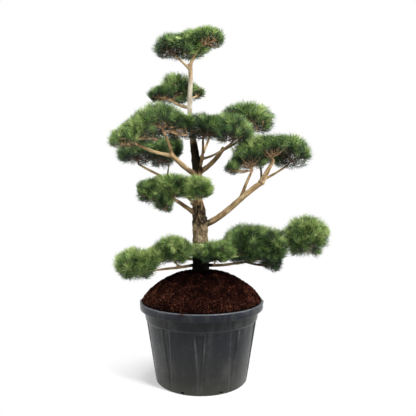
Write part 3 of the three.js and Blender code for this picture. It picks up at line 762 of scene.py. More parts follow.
def mix_materials():
    """Dark body of the mix, and crumbs from black-brown to reddish tan."""
    made = []
    tones = [
        (0.0025, 0.0008, 0.0006),
        (0.01, 0.0026, 0.0018),
        (0.035, 0.0108, 0.0068),
        (0.094, 0.034, 0.02),
    ]
    for i, tone in enumerate(tones):
        material, nodes, links, shader = new_material(f"bark_mix_{i}")
        grain = fractal(nodes, links, stretched(nodes, links, (1, 1, 1)), 160, 4, 0.7)
        low = tuple(v * 0.45 for v in tone)
        high = tuple(v * 1.7 for v in tone)
        links.new(ramp(nodes, links, grain, [(0.32, low), (0.68, high)]), shader.inputs["Base Color"])
        shader.inputs["Roughness"].default_value = 0.95
        shader.inputs["Specular IOR Level"].default_value = 0.02
        bump(nodes, links, shader, grain, 0.7, 0.002)
        made.append(material)
    return made


def pot_material():
    """Black moulded plastic with dried water runs, dust on the rim and scuffs, with painted shade under the
    rim and painted highlights along the rim's top edge and the flutes' shoulders.
    """
    material, nodes, links, shader = new_material("nursery_plastic")
    even = stretched(nodes, links, (1, 1, 1))
    streaks = fractal(nodes, links, stretched(nodes, links, (1, 1, 0.1)), 30, 6, 0.66)
    clouds = fractal(nodes, links, even, 8, 5, 0.65)
    blotches = fractal(nodes, links, even, 34, 5, 0.7)
    specks = fractal(nodes, links, even, 230, 3, 0.7)
    place = nodes.new("ShaderNodeTexCoord")
    split = nodes.new("ShaderNodeSeparateXYZ")
    links.new(place.outputs["Object"], split.inputs["Vector"])
    height = spanned(nodes, links, split.outputs["Z"], 0.0, 0.38)
    # By height: dusty greenish at the foot, bluish black higher up, darkest under the rim as painted shade,
    # a bluish rim band, and a painted highlight on the rim's top edge
    base = ramp(nodes, links, height, [
        (0.0, (0.026, 0.026, 0.02)),
        (0.16, (0.012, 0.0125, 0.0105)),
        (0.6, (0.006, 0.0072, 0.0098)),
        (0.87, (0.002, 0.0024, 0.0038)),
        (0.92, (0.003, 0.0042, 0.008)),
        (0.985, (0.006, 0.008, 0.0145)),
        (0.996, (0.1, 0.108, 0.12)),
    ])
    dust = ramp(nodes, links, streaks, [(0.44, grey(0)), (0.56, grey(0.35)), (0.7, grey(1))])
    patchy = ramp(nodes, links, clouds, [(0.4, grey(0.08)), (0.66, grey(1))])
    film = mixed(nodes, links, 1.0, dust, patchy, "MULTIPLY")
    colour = mixed(nodes, links, film, base, (0.042, 0.044, 0.04, 1))
    stain = ramp(nodes, links, blotches, [(0.56, grey(0)), (0.74, grey(0.55))])
    stain = mixed(nodes, links, 1.0, stain, patchy, "MULTIPLY")
    colour = mixed(nodes, links, stain, colour, (0.046, 0.041, 0.03, 1))
    # Painted highlight: a pale line along each flute's shoulder
    highlighted_shoulders = mixed(nodes, links, 1.0, attribute(nodes, "shoulder_highlight"), patchy, "MULTIPLY")
    colour = mixed(nodes, links, highlighted_shoulders, colour, (0.09, 0.095, 0.09, 1))
    spots = ramp(nodes, links, specks, [(0.71, grey(0)), (0.78, grey(0.7))])
    colour = mixed(nodes, links, spots, colour, (0.3, 0.3, 0.28, 1))
    links.new(colour, shader.inputs["Base Color"])
    rough = ramp(nodes, links, blotches, [(0.3, grey(0.2)), (0.7, grey(0.4))])
    links.new(rough, shader.inputs["Roughness"])
    shader.inputs["Specular IOR Level"].default_value = 0.24
    bump(nodes, links, shader, blotches, 0.3, 0.0014)
    return material


# Pot

def wall_radius(z):
    return WALL_FOOT_RADIUS + WALL_SLOPE * z


def flute_share(z):
    return FLUTE_FADE + (1 - FLUTE_FADE) * np.clip((z - FLUTE_FOOT) / (FLUTE_TOP - FLUTE_FOOT), 0, 1)


def arc(centre, radius, start, end, steps):
    """Profile points round a small corner, in degrees."""
    turn = np.radians(np.linspace(start, end, steps))
    return [(centre[0] + radius * math.cos(t), centre[1] + radius * math.sin(t)) for t in turn]


def pot_profile():
    """The turned outline as radius and height: underside, wall, collar, rim, then down the inside."""
    band_foot = POT_HEIGHT - RIM_BAND
    collar_foot = band_foot - COLLAR_HEIGHT
    inner_edge = RIM_RADIUS - RIM_TOP_WIDTH
    foot = wall_radius(FOOT_ROUND) - FOOT_ROUND
    rows = [(0, 0), (foot - 30, 0), (foot - 6, 0)]
    rows += arc((foot, FOOT_ROUND), FOOT_ROUND, -90, 0, 7)
    rows += [(wall_radius(z), z) for z in np.linspace(14, FLUTE_TOP + 4, 46)]
    collar_edge = wall_radius(collar_foot) + COLLAR_STEP - EDGE_ROUND
    rows += arc((collar_edge, collar_foot + 1), EDGE_ROUND, -60, 0, 4)
    rows += [(wall_radius(z) + COLLAR_STEP, z) for z in np.linspace(collar_foot + 4, band_foot - 3, 6)]
    rows += [(wall_radius(band_foot) + COLLAR_STEP + 1.5, band_foot)]
    rows += arc((RIM_RADIUS - RIM_ROUND, band_foot + 2), EDGE_ROUND, -90, 0, 4)
    rows += [(RIM_RADIUS - 0.4, band_foot + 14)]
    rows += arc((RIM_RADIUS - RIM_ROUND, POT_HEIGHT - RIM_ROUND), RIM_ROUND, 0, 90, 6)
    rows += [(RIM_RADIUS - 9, POT_HEIGHT - 0.4)]
    rows += arc((inner_edge + EDGE_ROUND, POT_HEIGHT - EDGE_ROUND), EDGE_ROUND, 90, 180, 5)
    rows += [(inner_edge - 2, POT_HEIGHT - 12)]
    rows += [(wall_radius(z) - WALL, z) for z in (band_foot, collar_foot)]
    rows += [(wall_radius(z) - WALL, z) for z in np.linspace(FLUTE_TOP + 4, 13, 18)]
    rows += [(wall_radius(FOOT_ROUND) - WALL, 2 * WALL), (0, WALL)]
    return np.array(rows)


def press_flutes(rows, turn):
    """How deep the flutes are pressed into the turned wall, and where their shoulders carry a painted
    highlight.
    """
    z = rows[:, 1][:, None]
    foot = wall_radius(FOOT_ROUND) - FOOT_ROUND
    fluted = (rows[:, :1] > foot) & (z >= FLUTE_START) & (z <= FLUTE_TOP + 3)
    pitch = 2 * np.pi / FLUTE_COUNT
    from_flute = (turn - math.radians(FLUTE_TURN) + pitch / 2) % pitch - pitch / 2
    distance = np.abs(from_flute)[None, :] * wall_radius(z)
    share = flute_share(z)
    half = FLUTE_HALF_WIDTH * share
    ease_out = np.clip((FLUTE_TOP + 3 - z) / FLUTE_EASE_OUT, 0, 1)
    ease_in = np.clip((z - FLUTE_START) / FLUTE_EASE_IN, 0, 1)
    pressed = share * ease_out * ease_in * fluted
    slope = np.clip((half - distance) / (half * (1 - FLUTE_BOTTOM)), 0, 1)
    groove = FLUTE_DEPTH * pressed * slope * slope * (3 - 2 * slope)
    shoulder_highlight = np.exp(-(((distance - half) / SHOULDER_HIGHLIGHT) ** 2)) * pressed
    return groove, shoulder_highlight


def make_pot():
    rows = pot_profile()
    turn = np.linspace(0, 2 * np.pi, POT_STEPS, endpoint=False)
    groove, shoulder_highlight = press_flutes(rows, turn)
    uneven = np.abs(0.8 * np.sin(3 * turn + 0.6) + 0.5 * np.sin(5 * turn)) * 0.6
    radius = np.where(rows[:, :1] > 1, rows[:, :1] - groove - uneven, 0)
    z = np.broadcast_to(rows[:, 1:], radius.shape)
    points = np.stack([radius * np.sin(turn), -radius * np.cos(turn), z], -1).reshape(-1, 3)
    under, floor = len(points), len(points) + 1
    points = np.concatenate([points, [(0, 0, 0), (0, 0, WALL)]])
    last = len(rows) - 2
    fans = [fan(under, POT_STEPS, POT_STEPS)[:, [0, 2, 1]], fan(floor, last * POT_STEPS, POT_STEPS)]
    faces = [np.concatenate(fans), bands(1, last, POT_STEPS)]
    pot = make_piece("pot_shell", points, faces, [pot_material()])
    keep_attribute(pot.data, "shoulder_highlight", np.concatenate([shoulder_highlight.ravel(), [0, 0]]))
    clean_loose(pot)
    cut_drains(pot)
    pot.data.shade_smooth()
    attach(pot, "root")
    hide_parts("pot")


def clean_loose(piece):
    """Drops points that no face uses."""
    bpy.context.view_layer.objects.active = piece
    piece.select_set(True)
    bpy.ops.object.mode_set(mode="EDIT")
    bpy.ops.mesh.select_all(action="SELECT")
    bpy.ops.mesh.delete_loose()
    bpy.ops.object.mode_set(mode="OBJECT")
    piece.select_set(False)


def cut_drains(pot):
    """Notches through the wall at the foot, each with rounded ends."""
    cutters = []
    radius = wall_radius(FOOT_ROUND)
    for i in range(DRAIN_COUNT):
        turn = math.radians(DRAIN_TURN + i * 360 / DRAIN_COUNT)
        bpy.ops.mesh.primitive_cylinder_add(vertices=24, radius=DRAIN_HEIGHT / 2 * MM, depth=DRAIN_CUT * MM)
        cutter = bpy.context.object
        cutter.scale = (DRAIN_WIDTH / DRAIN_HEIGHT, 1, 1)
        cutter.rotation_euler = (math.pi / 2, 0, turn)
        height = (1.2 * WALL + DRAIN_HEIGHT / 2) * MM
        cutter.location = (radius * math.sin(turn) * MM, -radius * math.cos(turn) * MM, height)
        cutters.append(cutter)
    bpy.ops.object.select_all(action="DESELECT")
    for cutter in cutters:
        cutter.select_set(True)
    bpy.context.view_layer.objects.active = cutters[0]
    bpy.ops.object.transform_apply(location=True, rotation=True, scale=True)
    bpy.ops.object.join()
    cutter = bpy.context.object
    cut = pot.modifiers.new("drains", "BOOLEAN")
    cut.operation = "DIFFERENCE"
    cut.solver = "EXACT"
    cut.object = cutter
    bpy.ops.object.select_all(action="DESELECT")
    bpy.context.view_layer.objects.active = pot
    bpy.ops.object.modifier_apply(modifier="drains")
    bpy.data.objects.remove(cutter, do_unlink=True)


# Potting mix

def mound_height(r):
    left = 1 - np.power(np.minimum(r / MOUND_RADIUS, 1), MOUND_ROUND)
    return MOUND_HEIGHT * np.power(left, MOUND_SHOULDER)


def lumps(x, y, size, height, seed=0.0):
    points = zip(x.ravel() / size, y.ravel() / size)
    made = [noise.fractal(Vector((a, b, seed)), 0.9, 2.1, 3) for a, b in points]
    return height * np.array(made).reshape(x.shape)


def mound_surface(x, y):
    """Height of the mound above the pot's underside with its broad lumps."""
    r = np.hypot(x, y)
    edge = np.clip((MOUND_RADIUS - r) / 30, 0, 1)
    return POT_HEIGHT + 0.5 + mound_height(r) + (lumps(x, y, 46, 5.0) + lumps(x, y, 13, 2.6, 7)) * edge


def make_mound(materials):
    """The heap's lumpy skin, closed by a skirt and a floor inside the rim."""
    rings = int(MOUND_RADIUS / MOUND_STEP)
    turn = np.linspace(0, 2 * np.pi, MOUND_SIDES, endpoint=False)
    share = (np.arange(1, rings + 1) / rings) ** MOUND_CROWDING
    r = (MOUND_RADIUS * share)[:, None] * np.ones(MOUND_SIDES)
    x, y = r * np.sin(turn), -r * np.cos(turn)
    z = mound_surface(x, y) + lumps(x, y, 4.5, 1.4, 3) * np.clip((MOUND_RADIUS - r) / 20, 0.2, 1)
    top = np.stack([x, y, z], -1).reshape(-1, 3)
    skirt = top[-MOUND_SIDES:] * [SKIRT_SHARE, SKIRT_SHARE, 0] + [0, 0, POT_HEIGHT - SKIRT_DROP]
    ends = [(0, 0, POT_HEIGHT + MOUND_HEIGHT), (0, 0, POT_HEIGHT - SKIRT_DROP)]
    peak, floor = len(top) + len(skirt), len(top) + len(skirt) + 1
    fans = [fan(peak, 0, MOUND_SIDES), fan(floor, len(top), MOUND_SIDES)[:, [0, 2, 1]]]
    quads = bands(0, rings, MOUND_SIDES)[:, [0, 3, 2, 1]]
    points = np.concatenate([top, skirt, ends])
    return make_piece("mix_mound", points, [np.concatenate(fans), quads], materials[:1], smooth=True)


def make_mix(materials):
    for piece in (make_mound(materials), make_crumbs(materials), make_fibres(materials)):
        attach(piece, "root")
        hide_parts("potting_mix")


def scattered(random, count):
    """Places over the mound, thinner towards the rim, clear of the trunk's foot."""
    r = MOUND_RADIUS * np.sqrt(random.uniform(0.02, 0.985, count))
    turn = random.uniform(0, 2 * np.pi, count)
    x, y = r * np.sin(turn), -r * np.cos(turn)
    keep = np.hypot(x + 4, y) > STEM_ROOM
    return x[keep], y[keep]


def turns(angle, axis):
    """Rotation matrices about one of the three axes."""
    a, b = ((1, 2), (2, 0), (0, 1))[axis]
    made = np.zeros((len(angle), 3, 3))
    made[:, axis, axis] = 1
    made[:, a, a] = made[:, b, b] = np.cos(angle)
    made[:, b, a] = np.sin(angle)
    made[:, a, b] = -made[:, b, a]
    return made


def make_crumbs(materials):
    """Chips of bark: eight-cornered blocks, squeezed and turned at random."""
    random = np.random.default_rng(11)
    x, y = scattered(random, CRUMBS)
    count = len(x)
    size = random.gamma(2.2, 0.64, count)[:, None] + 0.9
    squeeze = random.uniform([0.7, 0.35, 0.22], [1.3, 0.7, 0.5], (count, 3))
    half = np.clip(size, SMALLEST_CRUMB, LARGEST_CRUMB) * squeeze
    block = np.array([(a, b, c) for c in (-1, 1) for b in (-1, 1) for a in (-1, 1)], float)
    corners = block[None] * half[:, None] * random.uniform(0.62, 1.15, (count, 8, 3))
    turn = random.uniform(0, 2 * np.pi, count)
    tilt = random.normal(0, 0.55, (count, 2))
    turned = turns(turn, 2) @ turns(tilt[:, 0], 0) @ turns(tilt[:, 1], 1)
    corners = np.einsum("nij,nkj->nki", turned, corners)
    centres = np.stack([x, y, mound_surface(x, y) + half[:, 2] * 0.3], -1)
    points = (centres[:, None] + corners).reshape(-1, 3)
    points[:, 2] = np.maximum(points[:, 2], POT_HEIGHT + 0.3)
    sides = np.array([(0, 2, 3, 1), (4, 5, 7, 6), (0, 1, 5, 4), (2, 6, 7, 3), (0, 4, 6, 2), (1, 3, 7, 5)])
    quads = (np.arange(count)[:, None, None] * len(block) + sides).reshape(-1, 4)
    shade = mix_shades(x, y, random)
    return make_piece("mix_crumbs", points, [quads], materials, np.repeat(shade, len(sides)))


def mix_shades(x, y, random):
    """Darker near the trunk as painted shade under the crown, lighter and redder towards the rim."""
    # Painted shade: darker tones near the trunk, under the crown
    out_of_shade = np.clip((np.hypot(x, y) - CROWN_SHADE_RADIUS) / CROWN_SHADE_FADE, -1, 1)
    shade = 1.15 + 0.85 * out_of_shade + lumps(x, y, 52, 1.3, 17) + random.normal(0, 0.7, len(x))
    return np.clip(np.round(shade), 0, 3).astype(int)


def lying_fibres(random, x, y):
    """Paths and radii of curled fibres on the mound."""
    count = len(x)
    length = random.uniform(*FIBRE_LENGTHS, count)[:, None]
    turn = random.uniform(0, 2 * np.pi, count)[:, None]
    curl = random.normal(0, 0.5, count)[:, None]
    steps = np.linspace(-0.5, 0.5, len(FIBRE_TAPER))
    angle = turn + curl * steps * 2
    px = x[:, None] + length * steps * np.cos(angle)
    py = y[:, None] + length * steps * np.sin(angle)
    inside = np.minimum(1, (MOUND_RADIUS + 2) / np.hypot(px, py))
    px, py = px * inside, py * inside
    lift = random.uniform(*FIBRE_LIFTS, count)[:, None]
    arch = 1 - (2 * steps) ** 2 * random.uniform(0, 1.2, (count, 1))
    pz = np.maximum(mound_surface(px, py) + lift * arch, POT_HEIGHT + 1)
    radii = random.uniform(0.35, 1.05, count)[:, None] * np.array(FIBRE_TAPER)
    return np.stack([px, py, pz], -1), radii


def hanging_shreds(random):
    """Paths of shreds that lie over the rim, a bunch of them together."""
    bunch = random.normal(SHRED_TURN, 0.025, SHRED_BUNCH)
    turn = np.concatenate([bunch, random.uniform(0, 2 * np.pi, LOOSE_SHREDS)])[:, None]
    drop = random.uniform(3, SHRED_DROP, len(turn))[:, None] * np.array([0, 0, 0.1, 0.5, 1])
    over = np.array([MOUND_RADIUS - 16, RIM_RADIUS - 10, RIM_RADIUS + 0.5, RIM_RADIUS + 2, RIM_RADIUS + 1.5])
    turn = turn + random.normal(0, 0.012, drop.shape)
    x, y = over * np.sin(turn), -over * np.cos(turn)
    z = np.maximum(mound_surface(x, y), POT_HEIGHT + 1) + 1 - drop
    return np.stack([x, y, z], -1)


def make_fibres(materials):
    """Shreds of coir and bark that lie over the mound, a few of them over the rim."""
    random = np.random.default_rng(23)
    x, y = scattered(random, FIBRES)
    paths, radii = lying_fibres(random, x, y)
    shreds = hanging_shreds(random)
    shred_radii = np.full(shreds.shape[:2], SHRED_RADIUS)
    sides = 3
    points, faces = tubes(np.concatenate([paths, shreds]), np.concatenate([radii, shred_radii]), sides)
    shade = np.minimum(mix_shades(x, y, random), random.integers(2, 4, len(x)))
    shade = np.concatenate([shade, np.full(len(shreds), 2)])
    walls = sides * (len(FIBRE_TAPER) - 1)
    indices = np.concatenate([np.repeat(shade, walls), shade, shade])
    return make_piece("mix_fibres", points, faces, materials, indices)


# Trunk and boughs

def limb_tube(name, limb, random):
    """A limb's closed tube with swellings, ready to be fused with its neighbours."""
    rings = max(8, int(limb.path.length / LIMB_STEP))
    share = np.linspace(0, 1, rings)
    path = limb.path.at(share)
    along = share * limb.path.length
    radius = np.array([limb.radius(s) for s in share])
    lobes = np.ones((rings, LIMB_SIDES))
    if name == "trunk":
        flare = np.exp(-(path[:, 2] - TRUNK_STATIONS[0][2]) / ROOT_FLARE_HEIGHT)
        turn = np.arange(LIMB_SIDES) * 2 * np.pi / LIMB_SIDES
        lobes += ROOT_LOBE_SHARE * flare[:, None] * np.cos(ROOT_LOBES * turn)
    else:
        radius *= 1 + COLLAR_SWELL * COLLAR_FIT * np.exp(-along / COLLAR_LENGTH)
        phase, _ = random.normal(0, 1, 2)
        wave = np.sin(along / SWAY_LENGTH + phase)[:, None] * np.array(SWAY)
        ease = np.minimum(1, along / SWAY_EASE) * np.minimum(1, (along[-1] - along) / SWAY_EASE)
        path = path + wave * ease[:, None]
    ripple = [np.sin(along / length + random.uniform(0, 6)) for length in RIPPLE_LENGTHS]
    radius = radius * (1 + RIPPLE * ripple[0] * ripple[1])
    points, faces = tubes(path[None], radius[None], LIMB_SIDES)
    rounds = points.reshape(rings, LIMB_SIDES, 3)
    rounds = path[:, None] + (rounds - path[:, None]) * lobes[:, :, None]
    if name == "trunk":
        rounds[:, :, 2] = np.maximum(rounds[:, :, 2], WOOD_FOOT)
    return rounds.reshape(-1, 3), faces


def make_limbs():
    random = np.random.default_rng(5)
    parts = [limb_tube(name, limb, random) for name, limb in limbs.items()]
    parts += [knob(*place) for place in knobs()]
    points, faces = joined(parts)
    wood = make_piece("trunk_and_boughs", points, faces, [bark_material()])
    remesh = wood.modifiers.new("fuse", "REMESH")
    remesh.mode = "VOXEL"
    remesh.voxel_size = WOOD_VOXEL * MM
    ease = wood.modifiers.new("ease", "SMOOTH")
    ease.iterations = 3
    ease.factor = 0.5
    bpy.context.view_layer.objects.active = wood
    bpy.ops.object.modifier_apply(modifier="fuse")
    bpy.ops.object.modifier_apply(modifier="ease")
    roughen(wood)
    wood.data.shade_smooth()
    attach(wood, "root")
    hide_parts(*limbs)


def on_bark(height, depth, turn, rise=0.0):
    """A point on the trunk's side, sunk to a share of its radius."""
    out = trunk_radius(height) * depth
    return trunk_path.at(trunk_share(height)) + out * np.array([math.cos(turn), math.sin(turn), rise])


def knobs():
    """Centres and sizes of the whorl's burls, the boughs' knuckles and the trunk's knots."""
    random = np.random.default_rng(31)
    places = []
    for height in BURL_HEIGHTS:
        for _ in range(BURLS_ROUND):
            burl = on_bark(height, 0.86, random.uniform(0, 2 * np.pi))
            places.append((burl, random.uniform(5, 10)))
    for name, share, size in KNUCKLES:
        places.append((limbs[name].path.at(share), size))
    for height in KNOT_HEIGHTS:
        knot = on_bark(height, 0.8, random.uniform(0, 2 * np.pi), 0.2)
        places.append((knot, trunk_radius(height) * random.uniform(0.32, 0.5)))
    return places


def knob(centre, size):
    level = np.linspace(-1, 1, 9)
    path = centre + size * level[:, None] * np.array([0.1, 0.05, 1])
    radii = size * np.sqrt(np.maximum(1 - level**2, 0.02))
    return tubes(path[None], radii[None], 12)


def nearest_rows(place):
    """For each point, the row of the limb whose surface is nearest."""
    samples = sample_limbs(6)
    tree = kdtree.KDTree(len(samples))
    for i, row in enumerate(samples):
        tree.insert(row[:3], i)
    tree.balance()

    def surface_distance(found):
        _, i, distance = found
        return distance - samples[i, 3]

    return samples[[min(tree.find_n(point, NEAR_SAMPLES), key=surface_distance)[1] for point in place]]


def share_of_trunk(place):
    """1 on the trunk, falling to 0 on the boughs a little way out of it."""
    height = place[:, 2]
    axis = [np.interp(height, trunk_path.points[:, 2], trunk_path.points[:, k]) for k in (0, 1)]
    girth = np.interp(height, [s[2] for s in TRUNK_STATIONS], [s[3] for s in TRUNK_STATIONS])
    away = np.linalg.norm(place[:, :2] - np.stack(axis, -1), axis=1)
    return np.clip((1.75 - away / girth) / 0.5, 0, 1)


def bark_pattern(grain):
    """Distance from the nearest crack, and the rise of the plates between them."""
    crack, plate = np.empty(len(grain)), np.empty(len(grain))
    for i, point in enumerate(grain):
        cell = noise.voronoi(Vector(point / CRACK_CELL))[0]
        crack[i] = cell[1] - cell[0]
        plate[i] = noise.fractal(Vector(point / PLATE_SIZE), 0.8, 2.2, 4)
    return crack, plate


def pale_patches(place, height):
    """Where the light wood shows through the dark of the whorl."""
    patch = np.array([noise.fractal(Vector(point), 0.9, 2.2, 3) for point in place / PATCH_SIZE])
    return np.clip((patch - 0.08) / 0.16, 0, 1) * np.interp(height, *zip(*PATCHED))


def roughen(wood):
    """Cracks and plates are pressed into the wood, and what its colour needs is kept as attributes."""
    mesh = wood.data
    place = mesh_rows(mesh, "co") / MM
    rows = nearest_rows(place)
    radius, share, height = rows[:, 3], rows[:, 5], place[:, 2]
    on_trunk = share_of_trunk(place)
    grain = along_grain(place, rows)
    crack, plate = bark_pattern(grain)
    deep = np.clip(1 - crack / CRACK_WIDTH, 0, 1)
    aged = np.clip((OLD_BARK_TOP - height) / OLD_BARK_FADE, 0.15, 1)
    old = YOUNG_CRACKS + (aged - YOUNG_CRACKS) * on_trunk
    scale = np.clip(radius / FULL_RELIEF_RADIUS, LEAST_RELIEF, 1)
    relief = scale * (plate * PLATE_RELIEF - deep * CRACK_RELIEF * old)
    place = place + mesh_rows(mesh, "normal") * relief[:, None]
    place[:, 2] = np.maximum(place[:, 2], WOOD_FOOT)
    mesh.vertices.foreach_set("co", (place * MM).astype(np.float32).ravel())

    level = height + BAND_RAGGED * plate
    bough_age = 0.3 + 0.2 * share + 0.12 * plate
    age = bough_age * (1 - on_trunk) + np.interp(level, *zip(*AGE)) * on_trunk
    # Painted shade on the trunk's foot and under the middle masses, and dark on the old whorl
    dark_and_painted_shade = np.interp(level, *zip(*TRUNK_DARK_AND_PAINTED_SHADE)) * on_trunk
    dark_and_painted_shade = dark_and_painted_shade * (1 - PATCH_LIGHT * pale_patches(place, height))
    cuts = [limbs[name].path.at(1) for name in STUBS]
    from_cut = np.min([np.sum((place - cut) ** 2, axis=1) for cut in cuts], axis=0)
    pale = np.exp(-from_cut / CUT_REACH**2)
    keep_attribute(mesh, "age", np.maximum(age, pale))
    keep_attribute(mesh, "dark_and_painted_shade", dark_and_painted_shade * (1 - pale))
    keep_attribute(mesh, "crack", deep * old * 0.75 * (1 - pale))
    keep_attribute(mesh, "grain", grain * MM, "FLOAT_VECTOR", "vector")
    mesh.update()


def along_grain(place, rows):
    """Coordinates for the bark's pattern that are drawn out along the limb under each point."""
    number, share, heading = rows[:, 4].astype(int), rows[:, 5], rows[:, 6:9]
    lengths = np.array([limb.path.length for limb in limbs.values()])
    chords = np.array([limb.path.points[-1] - limb.path.points[0] for limb in limbs.values()])
    offset = place - rows[:, :3]
    ahead = np.sum(offset * heading, axis=1)
    across = offset - heading * ahead[:, None]
    along = share * lengths[number] + ahead
    return across + GRAIN_STRETCH * along[:, None] * unit(chords)[number] + GRAIN_SHIFT * number[:, None]


# Needles: the rule of the part's source, carried to finer twigs

class Lobe:
    """One dome of a mass: its middle, its size, and how many sprays the source gives it."""

    def __init__(self, centre, size, sprays):
        self.centre = np.array(centre, float)
        self.size = np.array(size, float)
        self.sprays = sprays

    def axes(self, z):
        """Half width, half depth, and the rise or the drop of the dome on a point's side of its middle."""
        made = np.broadcast_to(self.size[[0, 1, 3]], (*np.shape(z), 3)).copy()
        made[..., 2] = np.where(np.asarray(z) > 0, self.size[2], self.size[3])
        return made

    def heart(self):
        """Where its branches part, a little below its middle."""
        return self.centre - np.array([0, 0, HEART_DROP * self.size[3]])

    def share(self, points):
        """How far out in the dome: 0 in its middle and 1 on its surface."""
        offset = points - self.centre
        return np.linalg.norm(offset / self.axes(offset[..., 2]), axis=-1)


masses = {
    name: (carrier, light, [Lobe(*lobe) for lobe in lobes])
    for name, (carrier, light, lobes) in MASSES.items()
}


def depth_in(name, points):
    """How far out the points lie in the mass's nearest dome."""
    return np.min([lobe.share(points) for lobe in masses[name][2]], axis=0)


def belongs_to(name, points):
    """A point belongs to the mass in whose domes it lies deepest."""
    own = depth_in(name, points)
    others = np.min([depth_in(other, points) for other in masses if other != name], axis=0)
    return others > own + SPACE_MARGIN


canopy = [lobe for _, _, lobes in masses.values() for lobe in lobes]
limb_rows = sample_limbs(5)


def clear_of_limbs(points, margin):
    """Whether each point keeps its margin from every limb."""
    low, high = points.min(0) - LIMB_SEARCH, points.max(0) + LIMB_SEARCH
    near = limb_rows[np.all((limb_rows[:, :3] > low) & (limb_rows[:, :3] < high), axis=1)]
    if not len(near):
        return np.ones(len(points), bool)
    clear = []
    for some in np.array_split(points, max(1, len(points) // BATCH)):
        gap = np.linalg.norm(some[:, None] - near[None, :, :3], axis=2) - near[None, :, 3]
        clear.append(gap.min(1) > margin)
    return np.concatenate(clear)


def unit(v):
    return v / (np.linalg.norm(v, axis=-1, keepdims=True) + 1e-9)


def stem_of(carrier, lobes):
    limb = limbs[carrier]
    if carrier != "trunk":
        return limb.path.at(1), limb.path.heading(1), limb.radius(1)
    share = trunk_share(lobes[0].centre[2] - lobes[0].size[3])
    start = trunk_path.at(share)
    heading = unit((lobes[0].centre - start) * np.array([1, 1, 0]))
    return start + heading * 0.5 * limb.radius(share), heading, TRUNK_STEM_RADIUS


def bent(start, end, random, rings, wander):
    """Paths from start to end that sag a little and wander."""
    t = np.linspace(0, 1, rings)[None, :, None]
    length = np.linalg.norm(end - start, axis=1)[:, None, None]
    off = random.normal(0, 1, (len(start), 1, 3)) * wander * length
    sag = -TWIG_SAG * UP * length
    return start[:, None] * (1 - t) + end[:, None] * t + (off + sag) * 4 * t * (1 - t) / 2


def blended(points):
    """Depth in the canopy as a whole, where neighbouring domes run together, and the way out of it."""
    total, way = 0, 0
    for lobe in canopy:
        offset = points - lobe.centre
        spread = offset / lobe.axes(offset[..., 2])
        weight = np.exp(-BLEND * np.linalg.norm(spread, axis=-1))
        total = total + weight
        way = way + weight[..., None] * spread
    return -np.log(total) / BLEND, way / total[..., None]


def branch_out(lobes, hub, random):
    """Stems from the hub to the further lobes, and the roots and knees of the branches in all of them."""
    stems, roots, knees = [], [], []
    for lobe in lobes:
        heart = lobe.heart()
        if lobe is not lobes[0]:
            path = bent(hub[None], heart[None], random, BRANCH_RINGS, 0.03)
            stems.append(tubes(path, np.linspace(*LOBE_STEM_RADII, BRANCH_RINGS)[None], 8))
        forks = 2 * lobe.sprays + 4
        turn = np.arange(forks) * GOLDEN_ANGLE + random.uniform(0, FULL_TURN)
        ring = KNEE_REACH * np.sqrt((np.arange(forks) + 0.5) / forks)
        level = random.uniform(-0.5, 0.15, forks) - 0.2 * ring
        spread = np.stack([ring * np.cos(turn), ring * np.sin(turn), level], -1)
        roots.append(hub + (heart - hub) * random.uniform(0.1, 1.1, (forks, 1)))
        knees.append(lobe.centre + lobe.size[[0, 1, 3]] * spread)
    return stems, np.concatenate(roots), np.concatenate(knees)


def shoot_tones(light, tall, depth, random):
    # Painted light and shade: lighter for a lit mass and on the domes' upper sides, darker deep inside the
    # domes
    lit = TONE_BASE + TONE_PAINTED_LIGHT * light + TONE_TOP_LIGHT * tall + TONE_PAINTED_SHADE * (depth - MIDDLE_DEPTH)
    return lit + random.normal(0, TONE_SPREAD, len(depth))


def grow_mass(name, index, twig_looks, greens):
    carrier, light, lobes = masses[name]
    random = np.random.default_rng(1000 + 77 * index)
    start, heading, radius = stem_of(carrier, lobes)
    hub = start + heading * STEM_RISE
    first = lobes[0].heart()
    stem = np.stack([start - heading * 4, start + heading * 8, hub, (hub + first) / 2, first])
    parts = [tubes(stem[None], radius * np.array([STEM_TAPER]), 10)]
    stems, roots, knees = branch_out(lobes, hub, random)
    parts += stems
    sites, axis, vigour, tall, depth = shoot_sites(name, lobes, random)
    length = SHOOT_LENGTH * vigour * random.uniform(0.75, 1.1, len(sites))
    feet = sites - axis * length[:, None]
    nearest = np.linalg.norm(feet[:, None] - knees[None], axis=2).argmin(1)
    used = np.unique(nearest)
    widths = np.linspace(BRANCH_RADIUS, TWIG_RADIUS, BRANCH_RINGS)[None].repeat(len(used), 0)
    parts.append(tubes(bent(roots[used], knees[used], random, BRANCH_RINGS, 0.1), widths, 6))
    widths = np.linspace(TWIG_RADIUS * 0.8, SHOOT_RADIUS * 1.2, TWIG_RINGS)[None].repeat(len(sites), 0)
    parts.append(tubes(bent(knees[nearest], feet, random, TWIG_RINGS, 0.08), widths, 4))
    widths = np.array([[1.2, 0.6]]).repeat(len(sites), 0) * SHOOT_RADIUS
    parts.append(tubes(np.stack([feet, sites], 1), widths, 3))
    tone = shoot_tones(light, tall, depth, random)
    points, faces = joined(parts)
    twigs = make_piece(f"{name}_twigs", points, faces, [twig_looks[name in SHADED]], smooth=True)
    needles = make_needles(name, (feet, axis, length, vigour, tone), random, greens)
    for piece in (twigs, needles):
        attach(piece, "root")
        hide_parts(f"needles_{name}")


def cast_sites(lobes, random):
    """Places tried for shoots, spread through every lobe's dome."""
    cast = []
    for lobe in lobes:
        spread = random.uniform(-CAST_REACH, CAST_REACH, (CASTS, 3))
        spread[:, 2] = np.maximum(spread[:, 2], LOWEST_SHOOT)
        cast.append(lobe.centre + lobe.axes(spread[:, 2]) * spread)
    sites = np.concatenate(cast)
    return sites[blended(sites)[0] < 1]


def in_open_underside(way, flat):
    """Whether a place lies in the gap under a dome through which its branches show."""
    below = np.where(flat, OPEN_BELOW, LOW_OPEN_BELOW)
    width = np.where(flat, OPEN_WIDTH, LOW_OPEN_WIDTH)
    return (way[:, 2] < below) & (np.hypot(way[:, 0], way[:, 1] + OPEN_FRONT) < width)


